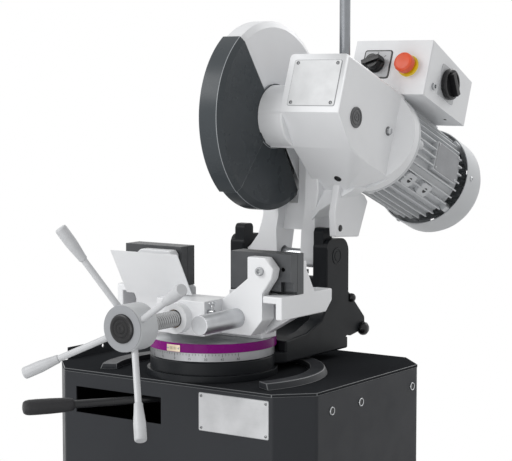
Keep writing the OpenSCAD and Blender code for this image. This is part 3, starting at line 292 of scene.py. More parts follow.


# %% [markdown]
# Each solid has a slot that says what it is made of, and each slot gets its finish here. A few solids
# look different from the rest of their slot, such as the top of the stand, which is a little darker than
# its sides and mirrors nothing, and have their own.

# %% Finishes of this machine
FINE_ACROSS = (0.03, 1, 1)
FINE_BACK = (1, 0.03, 1)
FINE_UP = (1, 1, 0.03)
finishes = {
    "white_paint": enamel("white_enamel", (0.80, 0.81, 0.825), 0.36),
    "grey_paint": enamel("silver_enamel", (0.57, 0.585, 0.60), 0.38),
    "guard_paint": enamel("slate_enamel", (0.050, 0.058, 0.064), 0.28, shine=0.22),
    "dark_casting": enamel("dark_enamel", (0.012, 0.0135, 0.0155), 0.36, 3.2, 0.05, shine=0.12),
    "stand_paint": enamel("powder_coat", (0.030, 0.032, 0.036), 0.40, 1.1, 0.035, shine=0.14),
    "index_paint": enamel("violet_ring", (0.19, 0.001, 0.16), 0.25, shine=0.1),
    "bright_steel": steel("ground_steel", (0.46, 0.47, 0.48), 0.28, FINE_ACROSS),
    "jaw_steel": steel("blackened_steel", (0.085, 0.088, 0.092), 0.42, FINE_UP),
    "plate_metal": steel("plate_aluminium", (0.48, 0.485, 0.495), 0.45, FINE_ACROSS),
    "brass_plate": steel("pointer_brass", (0.7, 0.6, 0.45), 0.4, FINE_ACROSS),
    "bronze": steel("oiled_bronze", (0.20, 0.13, 0.07), 0.4, FINE_BACK),
    "winding": plastic("winding_varnish", (0.35, 0.12, 0.04), 0.4),
    "black_plastic": plastic("black_plastic", (0.010, 0.010, 0.011), 0.3, shine=0.35),
    "black_paint": enamel("black_lever", (0.012, 0.0125, 0.014), 0.26, shine=0.4),
    "black_rubber": plastic("black_rubber", (0.026, 0.026, 0.028), 0.5, 1.4, 0.06, shine=0.3),
    "grey_plastic": plastic("grey_plastic", (0.52, 0.53, 0.545), 0.4),
    "red_plastic": plastic("signal_red", (0.8, 0.1, 0.03), 0.35),
}
special = {
    # the stand's top is a little darker than its sides and has no reflection
    "stand_top": enamel("oiled_top", (0.026, 0.0275, 0.030), 0.42, 1.1, 0.035, shine=0.0),
    "base_disc": steel("faced_steel", (0.62, 0.63, 0.64), 0.38, FINE_ACROSS),
    "guide_bar": steel("bar_steel", (0.55, 0.56, 0.575), 0.44, FINE_BACK),
    "feed_lever": steel("lever_steel", (0.24, 0.25, 0.265), 0.30, FINE_UP),
    "scale_ring": steel("scale_aluminium", (0.30, 0.305, 0.315), 0.42, FINE_UP),
}
floor_finish = enamel("pale_floor", (0.82, 0.82, 0.82), 0.7)
floor.data.materials.append(floor_finish)
for name, node in frame["nodes"].items():
    node.data.materials.clear()
    node.data.materials.append(special.get(name, finishes[slot_of[name]]))
print("finishes", len(finishes) + len(special))

# %% [markdown]
# Modelling by hand means: hold one piece, pick some of its faces or edges, use a tool on them, and put
# the piece in its place. These few helpers do the holding, picking and placing. The place is written
# into the mesh, so that every finished piece sits at the origin, as the solids do.

# %% Hands: hold, pick, place


def only(piece):
    """Select one piece alone."""
    bpy.ops.object.select_all(action="DESELECT")
    piece.select_set(True)
    bpy.context.view_layer.objects.active = piece


def edit(piece, parts):
    """Go into edit mode on one piece, with nothing picked."""
    only(piece)
    bpy.ops.object.mode_set(mode="EDIT")
    bpy.ops.mesh.select_mode(type=parts)
    bpy.ops.mesh.select_all(action="DESELECT")


def pick(piece, parts, wanted):
    """In edit mode, pick the faces or edges that pass a test."""
    mesh = bmesh.from_edit_mesh(piece.data)
    mesh.normal_update()
    for part in getattr(mesh, parts):
        part.select_set(wanted(part))
    mesh.select_flush_mode()
    bmesh.update_edit_mesh(piece.data)


def pointing(origin, axis):
    """The place of a round piece that stands on origin and rises along axis."""
    return Matrix.Translation(origin) @ axis.to_track_quat("Z", "Y").to_matrix().to_4x4()


def settle(piece, place):
    """Put a piece in its place and write the place into its mesh."""
    only(piece)
    piece.matrix_world = place
    bpy.ops.object.transform_apply(location=True, rotation=True, scale=True)
    return piece


def row_of(pattern, places):
    """Copies of one piece, each with its own mesh, joined into one."""
    copies = []
    for place in places[1:]:
        twin = pattern.copy()
        twin.data = pattern.data.copy()
        bpy.context.scene.collection.objects.link(twin)
        copies.append(settle(twin, place))
    settle(pattern, places[0])
    for twin in copies:
        twin.select_set(True)
    bpy.context.view_layer.objects.active = pattern
    pattern.select_set(True)
    if copies:
        bpy.ops.object.join()
    return pattern


def smooth(piece, angle=38):
    """Round faces shade smoothly, and flat ones stay flat."""
    only(piece)
    bpy.ops.object.shade_smooth_by_angle(angle=math.radians(angle))
    piece.modifiers.new("flat faces stay flat", "WEIGHTED_NORMAL").keep_sharp = True
    bpy.ops.object.modifier_apply(modifier="flat faces stay flat")


made = []


def dress(piece, name, body, slot, finish=None, stands_for=()):
    """Name a piece, give it its finish, and let it ride on its body."""
    piece.name = name
    piece.data.name = name
    if len(piece.data.materials) < 2:
        piece.data.materials.clear()
        piece.data.materials.append(finish or finishes[slot])
    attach(piece, body)
    if stands_for:
        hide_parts(*stands_for)
    made.append(name)
    return piece


# %% [markdown]
# No edge of a real machine is knife sharp. Castings have rounded edges from their moulds, folded
# sheet has the radius of the press, and machined steel is deburred. A bevel gives all of these, but a
# bevel that is wider than the face beside it folds that face over. So the edges are asked first
# whether they have room, and those that have none stay as they are.

# %% Edges with room for a bevel


def has_room(edge, chosen, width):
    """Whether the faces beside an edge are wide enough at its ends for a bevel of this width."""
    way = (edge.verts[1].co - edge.verts[0].co).normalized()
    for loop in edge.link_loops:
        onward = (loop.link_loop_next.edge, loop.link_loop_next.link_loop_next.edge)
        backward = (loop.link_loop_prev.edge, loop.link_loop_prev.link_loop_prev.edge)
        for beside, beyond in (onward, backward):
            if beside in chosen:
                continue
            room = (beside.verts[1].co - beside.verts[0].co).cross(way).length
            if room < width * (2 if beyond in chosen else 1):
                return False
    return True


def with_room(piece, sharp, width):
    """The numbers of the sharp edges that can be bevelled without folding a narrow face over."""
    mesh = bmesh.from_edit_mesh(piece.data)
    mesh.normal_update()
    mesh.edges.index_update()
    chosen = {edge for edge in mesh.edges if sharp(edge)}
    tight = True
    while tight:
        tight = {edge for edge in chosen if not has_room(edge, chosen, width)}
        chosen -= tight
    return {edge.index for edge in chosen}


# %% [markdown]
# A copy of each solid then gets its eased edges: its loose triangles are merged, flat areas are
# cleared of inner edges, and the sharp edges that stand out are bevelled by the amount that suits how
# the piece is made. Hollow corners stay, because a bevel there would only add faces nobody sees.

# %% Eased edges for the solids
SHARP = math.radians(33)
CLEAN = math.radians(0.4)
MERGE = 1e-5


def eased(node, width, segments=2, wanted=None, shortest=0.9, edge_finish=None, bend=38, first=None,
          narrow=True):
    """A copy of a solid with eased outer edges, which stands for it.

    The edges may have their own finish. Where the solid has narrow faces, only edges with room
    beside them are eased.
    """
    piece = bpy.data.objects.new("eased_" + node, frame["nodes"][node].data.copy())
    bpy.context.scene.collection.objects.link(piece)
    if edge_finish:
        piece.data.materials.append(edge_finish)
    only(piece)
    bpy.ops.mesh.customdata_custom_splitnormals_clear()
    edit(piece, "EDGE")
    bpy.ops.mesh.select_all(action="SELECT")
    bpy.ops.mesh.remove_doubles(threshold=MERGE)
    bpy.ops.mesh.dissolve_limited(angle_limit=CLEAN)
    if first:
        first(piece)

    def is_sharp(edge):
        if not edge.is_convex or edge.calc_length() < shortest * MM:
            return False
        return edge.calc_face_angle(0) > SHARP and (wanted is None or wanted(edge))

    if narrow:
        roomy = with_room(piece, is_sharp, width * MM)
        pick(piece, "edges", lambda edge: edge.index in roomy)
    else:
        pick(piece, "edges", is_sharp)
    bpy.ops.mesh.bevel(offset=width * MM, segments=segments, affect="EDGES", clamp_overlap=False,
                       material=1 if edge_finish else -1)
    bpy.ops.object.mode_set(mode="OBJECT")
    smooth(piece, bend)
    return dress(piece, "eased_" + node, body_of[node], slot_of[node], special.get(node), [node])


# %% [markdown]
# The castings come first, with the roundest edges. The gearbox has two long upper edges that are
# rounder still, and the left upright of the moving jaw is drawn up to the height of the right one. At
# three places two edges lie so close that one of them is left out.

# %% Castings
CAST_SHORTEST = 5
GEARBOX_ROUND = 8
UPRIGHT_TOP = 25
UPRIGHT_RISE = 6
ARM_JOIN = (330, 45)
RIM_BEHIND_DISC = (118, 60, 8)
BLOCK_BACK = (-21, 60)


def round_gearbox_top(piece):
    """The two long upper edges of the gearbox are rounder than the others."""
    def along_top(edge):
        ends = [(vertex.co - SPINDLE) / MM for vertex in edge.verts]
        at_top = all(abs(end.dot(ABOVE) - GEAR_TOP) < 0.1 for end in ends)
        return at_top and abs(ends[0].x - ends[1].x) < 0.1

    pick(piece, "edges", along_top)
    bpy.ops.mesh.bevel(offset=GEARBOX_ROUND * MM, segments=6, affect="EDGES")


def raise_left_upright(piece):
    """The left upright of the moving jaw reaches as high as the right one."""
    upper_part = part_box("moving_jaw_plates")[1].z - UPRIGHT_TOP * MM

    def near_top(edge):
        return all(vertex.co.x < SWIVEL.x and vertex.co.z > upper_part for vertex in edge.verts)

    pick(piece, "edges", near_top)
    bpy.ops.transform.translate(value=(0, 0, UPRIGHT_RISE * MM))


def off_line(y, half_length, reach=0.6):
    """A test that leaves out the edges along a line across the machine."""
    def kept(edge):
        ends = [(vertex.co - SWIVEL) / MM for vertex in edge.verts]
        return not all(abs(end.y - y) < reach and abs(end.x) < half_length for end in ends)

    return kept


eased("head_casting", 3.2, 3, off_line(*ARM_JOIN), CAST_SHORTEST, first=round_gearbox_top)
eased("swivel_casting", 4.0, 3, off_line(*RIM_BEHIND_DISC), CAST_SHORTEST)
eased("moving_jaw", 2.6, 3, off_line(*BLOCK_BACK), CAST_SHORTEST, first=raise_left_upright)
eased("vise_base", 2.4, 3, shortest=CAST_SHORTEST)
eased("handwheel_hub", 0.8)
print("castings", made)

# %% [markdown]
# The stand is folded sheet, so only its upright folds are rounded. On its top and on the coolant dam
# the bevel of the edges gets a lighter finish, a painted highlight. Sheet covers and machined
# steel follow with small widths, in millimetres, since they are only deburred.

# %% Stand, sheets and machined pieces
FOLD_LENGTH = 0.4


def upright(edge):
    """The long folds of the cabinet's corners."""
    return abs(edge.verts[0].co.z - edge.verts[1].co.z) > FOLD_LENGTH


eased("stand_cabinet", 5, 3, wanted=upright)
# painted highlight: a lighter grey on the bevelled edges of the stand's top and the coolant dam
worn_edge = enamel("worn_edge", (0.13, 0.135, 0.14), 0.35)
eased("stand_top", 1.0, edge_finish=worn_edge)
eased("coolant_dam", 1.4, edge_finish=worn_edge)
sheets = {"splash_plate": 0.9, "chip_deflector": 0.6, "control_box": 1.1,
          "control_panel": 1.1, "fan_cover": 1.0, "turntable_flange": 1.2}
machined = {"fixed_jaws": 0.9, "moving_jaw_plates": 0.9, "base_disc": 1.0, "index_ring": 0.6,
            "scale_ring": 0.6, "guide_bar": 1.6, "stop_bolt": 0.8, "fixed_jaw_screws": 0.8,
            "selector_knob": 1.2, "main_switch": 1.0, "pointer_plate": 0.2, "motor_frame": 0.5}
for node, width in (*sheets.items(), *machined.items()):
    eased(node, width)
print("eased", len(made))

# %% [markdown]
# The blade guards are pressed shells whose rim is folded in two steps. On the dark ones the folds
# and the cut edges show as fine bright lines, which are painted highlights: the bevel of those
# edges gets a second, lighter finish.

# %% Guards with rounded folds
# painted highlight: a light slate grey on the bevels of the folds and cut edges of the dark guards
slate_edge = enamel("slate_edge", (0.40, 0.42, 0.44), 0.25)
for node in ("guard_front", "guard_lower"):
    eased(node, 0.7, 2, shortest=1, edge_finish=slate_edge, bend=18, narrow=False)
eased("guard_hood", 1.0, 2, shortest=4, bend=22)
print("guards", made[-3:])

# %% [markdown]
# Two forms come back all over the machine: the plate with rounded corners, and the turned piece. The
# plate starts as a cube whose upright edges are rounded first and whose upper rim is eased after. The
# turned piece starts as a disc that is drawn out and widened step by step, as a lathe tool would go.

# %% Plates and turned pieces


def slab(width, height, thickness, corner=0.0, ease=0.4):
    """A plate that lies on its origin: width along x, height along y, its upper rim eased."""
    bpy.ops.object.select_all(action="DESELECT")
    bpy.ops.mesh.primitive_cube_add(size=1, location=(0, 0, thickness / 2 * MM))
    piece = bpy.context.object
    piece.scale = (width * MM, height * MM, thickness * MM)
    bpy.ops.object.transform_apply(location=True, rotation=True, scale=True)
    edit(piece, "EDGE")
    if corner:
        pick(piece, "edges", lambda e: abs(e.verts[0].co.z - e.verts[1].co.z) > thickness / 2 * MM)
        bpy.ops.mesh.bevel(offset=corner * MM, segments=6, affect="EDGES")
    if ease:
        pick(piece, "edges", lambda e: min(v.co.z for v in e.verts) > 0.99 * thickness * MM)
        bpy.ops.mesh.bevel(offset=ease * MM, segments=2, affect="EDGES")
    bpy.ops.object.mode_set(mode="OBJECT")
    smooth(piece)
    return piece


def turned(profile, sides=48):
    """A round piece on the z axis; profile lists its radius and height from foot to tip."""
    radius, height = profile[0]
    bpy.ops.object.select_all(action="DESELECT")
    bpy.ops.mesh.primitive_circle_add(vertices=sides, radius=radius * MM, fill_type="NGON",
                                      location=(0, 0, height * MM))
    piece = bpy.context.object
    bpy.ops.object.transform_apply(location=True, rotation=True, scale=True)
    edit(piece, "FACE")
    bpy.ops.mesh.select_all(action="SELECT")
    for next_radius, next_height in profile[1:]:
        rise = (0, 0, (next_height - height) * MM)
        bpy.ops.mesh.extrude_region_move(TRANSFORM_OT_translate={"value": rise})
        grow = next_radius / radius
        bpy.ops.transform.resize(value=(grow, grow, 1), center_override=(0, 0, next_height * MM))
        radius, height = next_radius, next_height
    bpy.ops.mesh.select_all(action="SELECT")
    bpy.ops.mesh.normals_make_consistent(inside=False)
    bpy.ops.object.mode_set(mode="OBJECT")
    smooth(piece)
    return piece


def dome_screw(radius):
    """A low round head with a small recess."""
    shape = [(1, 0), (1, 0.25), (0.8, 0.5), (0.4, 0.6), (0.34, 0.3), (0.05, 0.3)]
    return turned([(radius * r, radius * h) for r, h in shape], 20)


def socket_screw(radius, height):
    """A cylinder-head screw with its key hole."""
    shape = [(1, 0), (1, 0.88), (0.92, 1), (0.56, 1), (0.54, 0.3), (0.05, 0.3)]
    return turned([(radius * r, height * h) for r, h in shape], 32)


# %% [markdown]
# The gearbox carries a bare plate with four screws on its front, which leans with that face. A thin
# darker sheet under it paints the shadow line round the plate. The stand has a second bare plate, held by four
# rivets.

# %% Bare plates
plate_edge = plastic("plate_edge", (0.30, 0.31, 0.32), 0.5)
screw_steel = steel("screw_steel", (0.22, 0.225, 0.23), 0.3, FINE_ACROSS)
plate_satin = plastic("plate_satin", (0.66, 0.67, 0.68), 0.42)
SHADE_LINE_DEPTH = 0.9
SHOWN_LINE = 1.6


def bare_plate(node, body, foot, x_axis, y_axis, size, corners, finish=None):
    """A plate on a darker sheet that paints its shadow line; corners are the radii of that sheet and of the plate.
    """
    place = axes(foot, x_axis, y_axis)
    # painted shadow: a darker sheet, a little wider than the plate, shows as the dark line round it
    shade_line = slab(size[0], size[1], SHADE_LINE_DEPTH, corners[0], 0)
    dress(settle(shade_line, place), node + "_backing", body, "plate_metal", plate_edge, [node])
    face = slab(size[0] - SHOWN_LINE, size[1] - SHOWN_LINE, size[2], corners[1], 0.3)
    dress(settle(face, place), node + "_face", body, "plate_metal", finish, [node])


def corner_places(foot, x_axis, y_axis, half_width, half_height, lift):
    """Places for the four screws of a plate."""
    places = []
    for sx in (-1, 1):
        for sy in (-1, 1):
            spot = x_axis * sx * half_width + y_axis * sy * half_height + x_axis.cross(y_axis) * lift
            places.append(axes(foot + spot * MM, x_axis, y_axis))
    return places


# %% [markdown]
# The plates of the solids say where they are and how large. The gearbox's front leans a little more
# than the head does, so its plate is measured along that face.

# %% Plate on the gearbox and plate on the stand
FACE_LEAN = math.atan2(3, GEAR_TOP + 12)
face_up = ABOVE * math.cos(FACE_LEAN) - ALONG * math.sin(FACE_LEAN)
face_out = ACROSS.cross(face_up)
across_span, up_span, out_span = [span("head_plate", axis) for axis in (ACROSS, face_up, face_out)]
head_plate_foot = SPINDLE + (ACROSS * sum(across_span) / 2 + face_up * sum(up_span) / 2
                             + face_out * out_span[0]) * MM
head_plate_size = [high - low for low, high in (across_span, up_span, out_span)]
bare_plate("head_plate", "head", head_plate_foot, ACROSS, face_up, head_plate_size, (4, 3.4),
           plate_satin)
head_screws = corner_places(head_plate_foot, ACROSS, face_up, 44, 39, head_plate_size[2])
dress(row_of(dome_screw(3.4), head_screws), "head_plate_screws", "head", "bright_steel", screw_steel)

low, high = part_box("front_plate")
front_foot = Vector(((low.x + high.x) / 2, high.y, (low.z + high.z) / 2))
front_size = (high - low) / MM
RIVET_INSET = 6
bare_plate("front_plate", "stand", front_foot, ACROSS, UP, (front_size.x, front_size.z, front_size.y),
           (3, 2.6))
rivets = corner_places(front_foot, ACROSS, UP, front_size.x / 2 - RIVET_INSET,
                       front_size.z / 2 - RIVET_INSET, front_size.y)
dress(row_of(dome_screw(2.6), rivets), "front_plate_rivets", "stand", "bright_steel", screw_steel)
print("plates", [round(v, 1) for v in (*head_plate_size, *front_size)])

# %% [markdown]
# On the gearbox's right wall sit the spindle cover, a pressed disc with ring-shaped beads, and the oil
# plug with its hexagon. Each is turned from a short list of radii and heights.

# %% Covers and plugs on the gearbox's right wall
WALL_X = 208
cover_grey = plastic("cover_grey", (0.060, 0.062, 0.066), 0.3)
cover = turned([(20, -8), (20, 1.3), (19.4, 2), (17, 2), (16.2, 0.9), (13.8, 0.9), (13, 2), (9.6, 2),
                (8.8, 0.9), (6.4, 0.9), (5.6, 2), (2, 2), (1.4, 1.2), (0.1, 1.2)], 64)
dress(settle(cover, pointing(on_head(WALL_X, 0, 0), ACROSS)), "spindle_cover", "head", "dark_casting",
      cover_grey, ["plugs"])
oil_place = pointing(on_head(WALL_X, 122, 16), ACROSS)
washer = turned([(9, -8), (9, 1.2), (8.6, 1.6), (0.2, 1.6)], 40)
dress(settle(washer, oil_place), "oil_plug_washer", "head", "bright_steel", screw_steel, ["plugs"])
hexagon = turned([(7.8, 1.6), (7.8, 5.4), (6.6, 6.4), (3.4, 6.9), (0.2, 7)], 6)
dress(settle(hexagon, oil_place), "oil_plug_hexagon", "head", "bright_steel", stands_for=["plugs"])
print("right wall", made[-3:])

# %% [markdown]
# A filler plug stands on top of the gearbox beside the collar of the feed lever, a socket plug closes
# the drain on the lower front, which slopes down, and a small plug fills the hole in the lug.

# %% Other plugs of the gearbox
filler = turned([(9, -8), (9, 1.5), (8.4, 2.2), (7.6, 2.4), (7.6, 4.6), (6.6, 5.7), (2, 6),
                 (0.2, 6)], 32)
dress(settle(filler, pointing(on_head(136.5, 0, GEAR_TOP), ABOVE)), "filler_plug", "head",
      "white_paint", stands_for=["plugs"])
drain_out = (-ALONG * 48 - ABOVE * 114).normalized()
drain = turned([(7.5, -4), (7.5, 0.7), (7.1, 1.1), (4.8, 1.1), (4.5, 0.1), (0.2, 0.1)], 32)
dress(settle(drain, pointing(on_head(140, 86, -95), drain_out)), "drain_plug", "head", "black_paint")
lug_plug = turned([(6.4, 0), (6.4, 0.9), (5.4, 1.8), (3, 2.2), (0.2, 2.3)], 32)
dress(settle(lug_plug, pointing(machine(135, 236, 1061), ACROSS)), "lug_plug", "head", "black_plastic")
lever_collar = turned([(15, -1), (15, 5), (14, 6.5), (12, 7), (0.5, 7)], 40)
foot_points = [vertex.co for vertex in frame["nodes"]["feed_lever"].data.vertices
               if (vertex.co - SPINDLE).dot(ABOVE) / MM < GEAR_TOP + 0.1]
lever_foot = sum(foot_points, Vector()) / len(foot_points)
dress(settle(lever_collar, pointing(lever_foot, ABOVE)), "lever_collar", "head", "black_plastic")
print("plugs", made[-4:])

# %% [markdown]
# The motor is an aluminium frame with cooling fins. On its right it has a flat pad with a bare type
# plate. The pad is a slab that starts inside the fins, so that they seem to run into it.

# %% Type plate of the motor
TYPE_ALONG, TYPE_ABOVE = 318, 18
PAD_X, PAD_RISE = 225, 14
type_place = axes(on_head(PAD_X, TYPE_ALONG, TYPE_ABOVE), ALONG, ABOVE)
type_foot = on_head(PAD_X + PAD_RISE, TYPE_ALONG, TYPE_ABOVE)
dress(settle(slab(98, 60, PAD_RISE, 3, 1), type_place), "type_plate_pad", "head", "grey_paint")
type_grey = steel("type_plate_grey", (0.26, 0.265, 0.275), 0.45, FINE_ACROSS)
PLATE_RISE = 0.8
dress(settle(slab(94, 56, PLATE_RISE, 2, 0.2), axes(type_foot, ALONG, ABOVE)), "type_plate", "head",
      "plate_metal", type_grey)
type_rivets = corner_places(type_foot, ALONG, ABOVE, 43, 24, PLATE_RISE)
dress(row_of(dome_screw(2.4), type_rivets), "type_plate_rivets", "head", "bright_steel")
print("type plate", made[-3:])

# %% [markdown]
# Round the motor there are cast foot pads with two bolt holes below, whose dark insides are painted
# shade on black discs, bosses for the flange bolts, and three screws that hold the sheet cover over the
# fan. All are placed by an angle round its axis.

# %% Pads, bosses and screws round the motor
MOTOR_X, MOTOR_ABOVE = 142.5, 13
FOOT_ANGLE = math.radians(-41)
FOOT_RISE, BOSS_RISE = 14, 24
FIRST_ANGLE = 2


def round_motor(radius, angle, along):
    """A point at a radius and angle round the motor's axis, and the way out from it."""
    out = ACROSS * math.cos(angle) + ABOVE * math.sin(angle)
    return on_head(MOTOR_X, along, MOTOR_ABOVE) + out * radius * MM, out


foot_places = []
hole_places = []
for along in (226, 292):
    spot, out = round_motor(82, FOOT_ANGLE, along)
    foot_places.append(axes(spot, ALONG, out.cross(ALONG)))
    hole_places.append(pointing(spot + out * FOOT_RISE * MM, out))
dress(row_of(slab(40, 30, FOOT_RISE, 9, 4), foot_places), "motor_foot_pads", "head", "grey_paint")
# painted shade: a thin black disc on each pad stands for the dark inside of a bolt hole
bolt_hole_shade = turned([(6, 0.02), (6, 0.3), (5, 0.3), (4.8, 0.05), (0.2, 0.05)], 32)
dress(row_of(bolt_hole_shade, hole_places), "motor_foot_holes", "head", "black_plastic")
boss_places = []
bolt_places = []
for quarter in range(4):
    spot, out = round_motor(90, math.radians(FIRST_ANGLE + 90 * quarter), 184)
    boss_places.append(pointing(spot, ALONG))
    bolt_places.append(pointing(spot + ALONG * BOSS_RISE * MM, ALONG))
boss = turned([(11, 0), (11, 21), (9.5, BOSS_RISE), (0.5, BOSS_RISE)], 32)
dress(row_of(boss, boss_places), "flange_bosses", "head", "grey_paint")
flange_bolt = turned([(7, 0), (7, 4.4), (6, 5), (0.5, 5)], 6)
dress(row_of(flange_bolt, bolt_places), "flange_bolts", "head", "bright_steel")
cover_places = []
for third in range(3):
    spot, out = round_motor(103.6, math.radians(FIRST_ANGLE + 120 * third), 417)
    cover_places.append(pointing(spot, out))
dress(row_of(dome_screw(5.2), cover_places), "fan_cover_screws", "head", "bright_steel")
print("motor fittings", made[-5:])

# %% [markdown]
# The control box carries a selector on a small plate with a dark border. The three marks for its knob
# are thin slabs that stand on a circle round it.

# %% Selector plate
PANEL_ALONG = 155
MARK_RADIUS = 23.5
PLATE_TOP = 2
selector_foot = on_head(132, PANEL_ALONG, 167)
selector_place = axes(selector_foot, ACROSS, ABOVE)
dress(settle(slab(64, 60, 1.4, 6, 0.4), selector_place), "selector_border", "head", "grey_plastic",
      finishes["black_plastic"], ["switch_plates"])
dress(settle(slab(58.5, 54.5, PLATE_TOP, 4, 0.3), selector_place), "selector_plate", "head",
      "grey_plastic", stands_for=["switch_plates"])
mark_places = []
for turn in (-45, 0, 45):
    way = ABOVE * math.cos(math.radians(turn)) + ACROSS * math.sin(math.radians(turn))
    spot = selector_foot + (way * MARK_RADIUS - ALONG * PLATE_TOP) * MM
    mark_places.append(axes(spot, -way.cross(ALONG), way))
dress(row_of(slab(1.0, 5, 0.25, 0.3, 0), mark_places), "selector_marks", "head", "grey_plastic",
      finishes["black_plastic"])
print("selector", made[-3:])

# %% [markdown]
# Beside the selector is the red mushroom button on its yellow collar, and on the right wall a main
# switch. The mushroom is turned in one go from its stem to its crown, and its rim is rounded by a few
# close steps.

# %% Stop button and main switch
yellow_collar = plastic("yellow_collar", (0.86, 0.62, 0.01), 0.35)
BOX_WALL_X = 250
stop_place = pointing(on_head(205, PANEL_ALONG, 163), -ALONG)
collar = turned([(22, 0), (22, 2.4), (21.2, 3.4), (19, 4), (8, 4), (7.6, 3), (0.5, 3)], 64)
dress(settle(collar, stop_place), "stop_collar", "head", "grey_plastic", yellow_collar,
      ["switch_plates"])
mushroom = turned([(6, -12), (6, 5), (12.5, 5.6), (13, 9.6), (18.2, 10.2), (19.6, 11.4), (20, 13),
                   (20, 22.6), (19.5, 24.4), (18.2, 25.6), (16.4, 26.1), (15.8, 25.7), (15.2, 26.3),
                   (9, 27), (0.3, 27.2)], 64)
dress(settle(mushroom, stop_place), "stop_mushroom", "stop_button", "red_plastic",
      stands_for=["stop_button"])
main_place = axes(on_head(BOX_WALL_X, 240, 157), ALONG, ABOVE)
dress(settle(slab(66, 66, 2, 4, 0.5), main_place), "main_switch_plate", "head", "grey_plastic",
      stands_for=["switch_plates"])
box_screw_place = pointing(on_head(BOX_WALL_X, 187, 132.5), ACROSS)
dress(settle(socket_screw(7, 5), box_screw_place), "box_screw", "head", "bright_steel")
# painted shade: a small black disc under the control box stands for the dark inside of a hole
box_plug = turned([(3, 0), (3, 0.4), (2.2, 0.7), (0.2, 0.7)], 24)
dress(settle(box_plug, pointing(on_head(226, 300, 104), -ABOVE)), "box_plug", "head", "black_plastic")
print("controls", made[-5:])

# %% [markdown]
# The star handwheel has a black cap with ring-shaped grooves and four spokes with tapered grips. One
# grip is turned with a rounded end, then copied to the four spokes, which lean towards the operator.

# %% Star handwheel
HUB_MIDDLE = machine(0, -236, 0) + UP * SCREW.z
SPOKE_LEAN = math.radians(24.7)
SPOKE_REACH = 202 / math.cos(SPOKE_LEAN)
FIRST_SPOKE = -26.5
GRIP = 74
grip_start = SPOKE_REACH - GRIP
hub_front = Vector((SCREW.x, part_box("hub_cap")[1].y, SCREW.z))
cap = turned([(26, 0), (26, 1.6), (24.6, 3.4), (21.6, 4.2), (18.4, 4.2), (17.4, 3.2), (15.4, 3.2),
              (14.4, 4.2), (11.4, 4.2), (10.4, 3.2), (8.4, 3.2), (7, 4.6), (3.4, 5), (2.6, 4),
              (0.2, 4)], 64)
dress(settle(cap, pointing(hub_front, -BACK)), "hub_cap_rings", "handwheel", "black_plastic",
      stands_for=["hub_cap"])
grip_places = []
spoke_places = []
for quarter in range(4):
    turn = math.radians(FIRST_SPOKE - 90 * quarter)
    way = Vector((math.cos(SPOKE_LEAN) * math.cos(turn), -math.sin(SPOKE_LEAN),
                  -math.cos(SPOKE_LEAN) * math.sin(turn)))
    spoke_places.append(pointing(HUB_MIDDLE, way))
    grip_places.append(pointing(HUB_MIDDLE + way * grip_start * MM, way))
grip = turned([(6.4, -0.6), (7.4, 0), (7.8, 1.4), (8.2, 8), (9.4, 20), (10.4, 30), (10.9, 38), (11, 46),
               (11, 66), (10.4, 68.2), (9.2, 69.4), (0.3, 69.8)], 40)
dress(row_of(grip, grip_places), "handwheel_grips", "handwheel", "grey_plastic",
      stands_for=["spoke_grips"])
spoke = turned([(6, 26), (6, 40.5), (6.9, 41), (6.9, 43.4), (6, 44), (6, grip_start + 30),
                (0.5, grip_start + 30.2)], 32)
spoke_grey = enamel("spoke_grey", (0.56, 0.57, 0.585), 0.32)
dress(row_of(spoke, spoke_places), "handwheel_spokes", "handwheel", "bright_steel", spoke_grey,
      ["spokes"])
hub_face = turned([(41.4, -0.5), (41.4, 0.25), (41, 0.4), (27.4, 0.4), (27, 0.1), (0.3, 0.1)], 72)
hub_face_grey = enamel("hub_face_grey", (0.30, 0.31, 0.325), 0.4)
dress(settle(hub_face, pointing(hub_front, -BACK)), "hub_face", "handwheel", "grey_paint",
      hub_face_grey)
print("handwheel reach", round(SPOKE_REACH, 1))

# %% [markdown]
# The vise screw has a real thread. A small four-sided outline is set beside the axis, and the Screw
# modifier carries it round and along by one pitch a turn. Its two open ends are filled, and the core
# with its collar and journal is turned as one piece.

# %% Vise screw
PITCH = 6
THREAD_FRONT, THREAD_BACK = -212, -12
TURNS = (THREAD_BACK - THREAD_FRONT) // PITCH
thread_steel = steel("thread_steel", (0.34, 0.345, 0.35), 0.25, FINE_UP)
core_steel = steel("core_steel", (0.03, 0.031, 0.033), 0.35, FINE_UP)
screw_core = turned([(12.5, -47), (12.5, 205), (15, 205.2), (15, 216.6), (10, 216.8), (10, 302),
                     (9, 304), (0.5, 304)], 48)
dress(settle(screw_core, pointing(machine(0, -215, 0) + UP * SCREW.z, BACK)), "vise_screw_core",
      "handwheel", "bright_steel", core_steel, ["vise_screw"])
bpy.ops.object.select_all(action="DESELECT")
bpy.ops.mesh.primitive_circle_add(vertices=4, radius=2.0 * MM, location=(13 * MM, 0, 0),
                                  rotation=(math.pi / 2, 0, 0))
thread = bpy.context.object
bpy.ops.object.transform_apply(location=True, rotation=True, scale=True)
winding = thread.modifiers.new("winding", "SCREW")
winding.screw_offset = PITCH * MM
winding.iterations = TURNS
winding.steps = winding.render_steps = 32
winding.use_merge_vertices = False
bpy.ops.object.modifier_apply(modifier="winding")
edit(thread, "EDGE")
bpy.ops.mesh.select_all(action="SELECT")
bpy.ops.mesh.fill_holes(sides=4)
bpy.ops.mesh.normals_make_consistent(inside=False)
bpy.ops.object.mode_set(mode="OBJECT")
smooth(thread)
settle(thread, pointing(machine(0, THREAD_FRONT, 0) + UP * SCREW.z, BACK))
dress(thread, "vise_screw_thread", "handwheel", "bright_steel", thread_steel, ["vise_screw"])
print("thread turns", TURNS)

# %% [markdown]
# Small fittings of the vise: two key screws in the moving jaw, and the pin of the stock stop with its
# wing screw, whose two ears are plates with round corners that stand apart like a butterfly's wings.

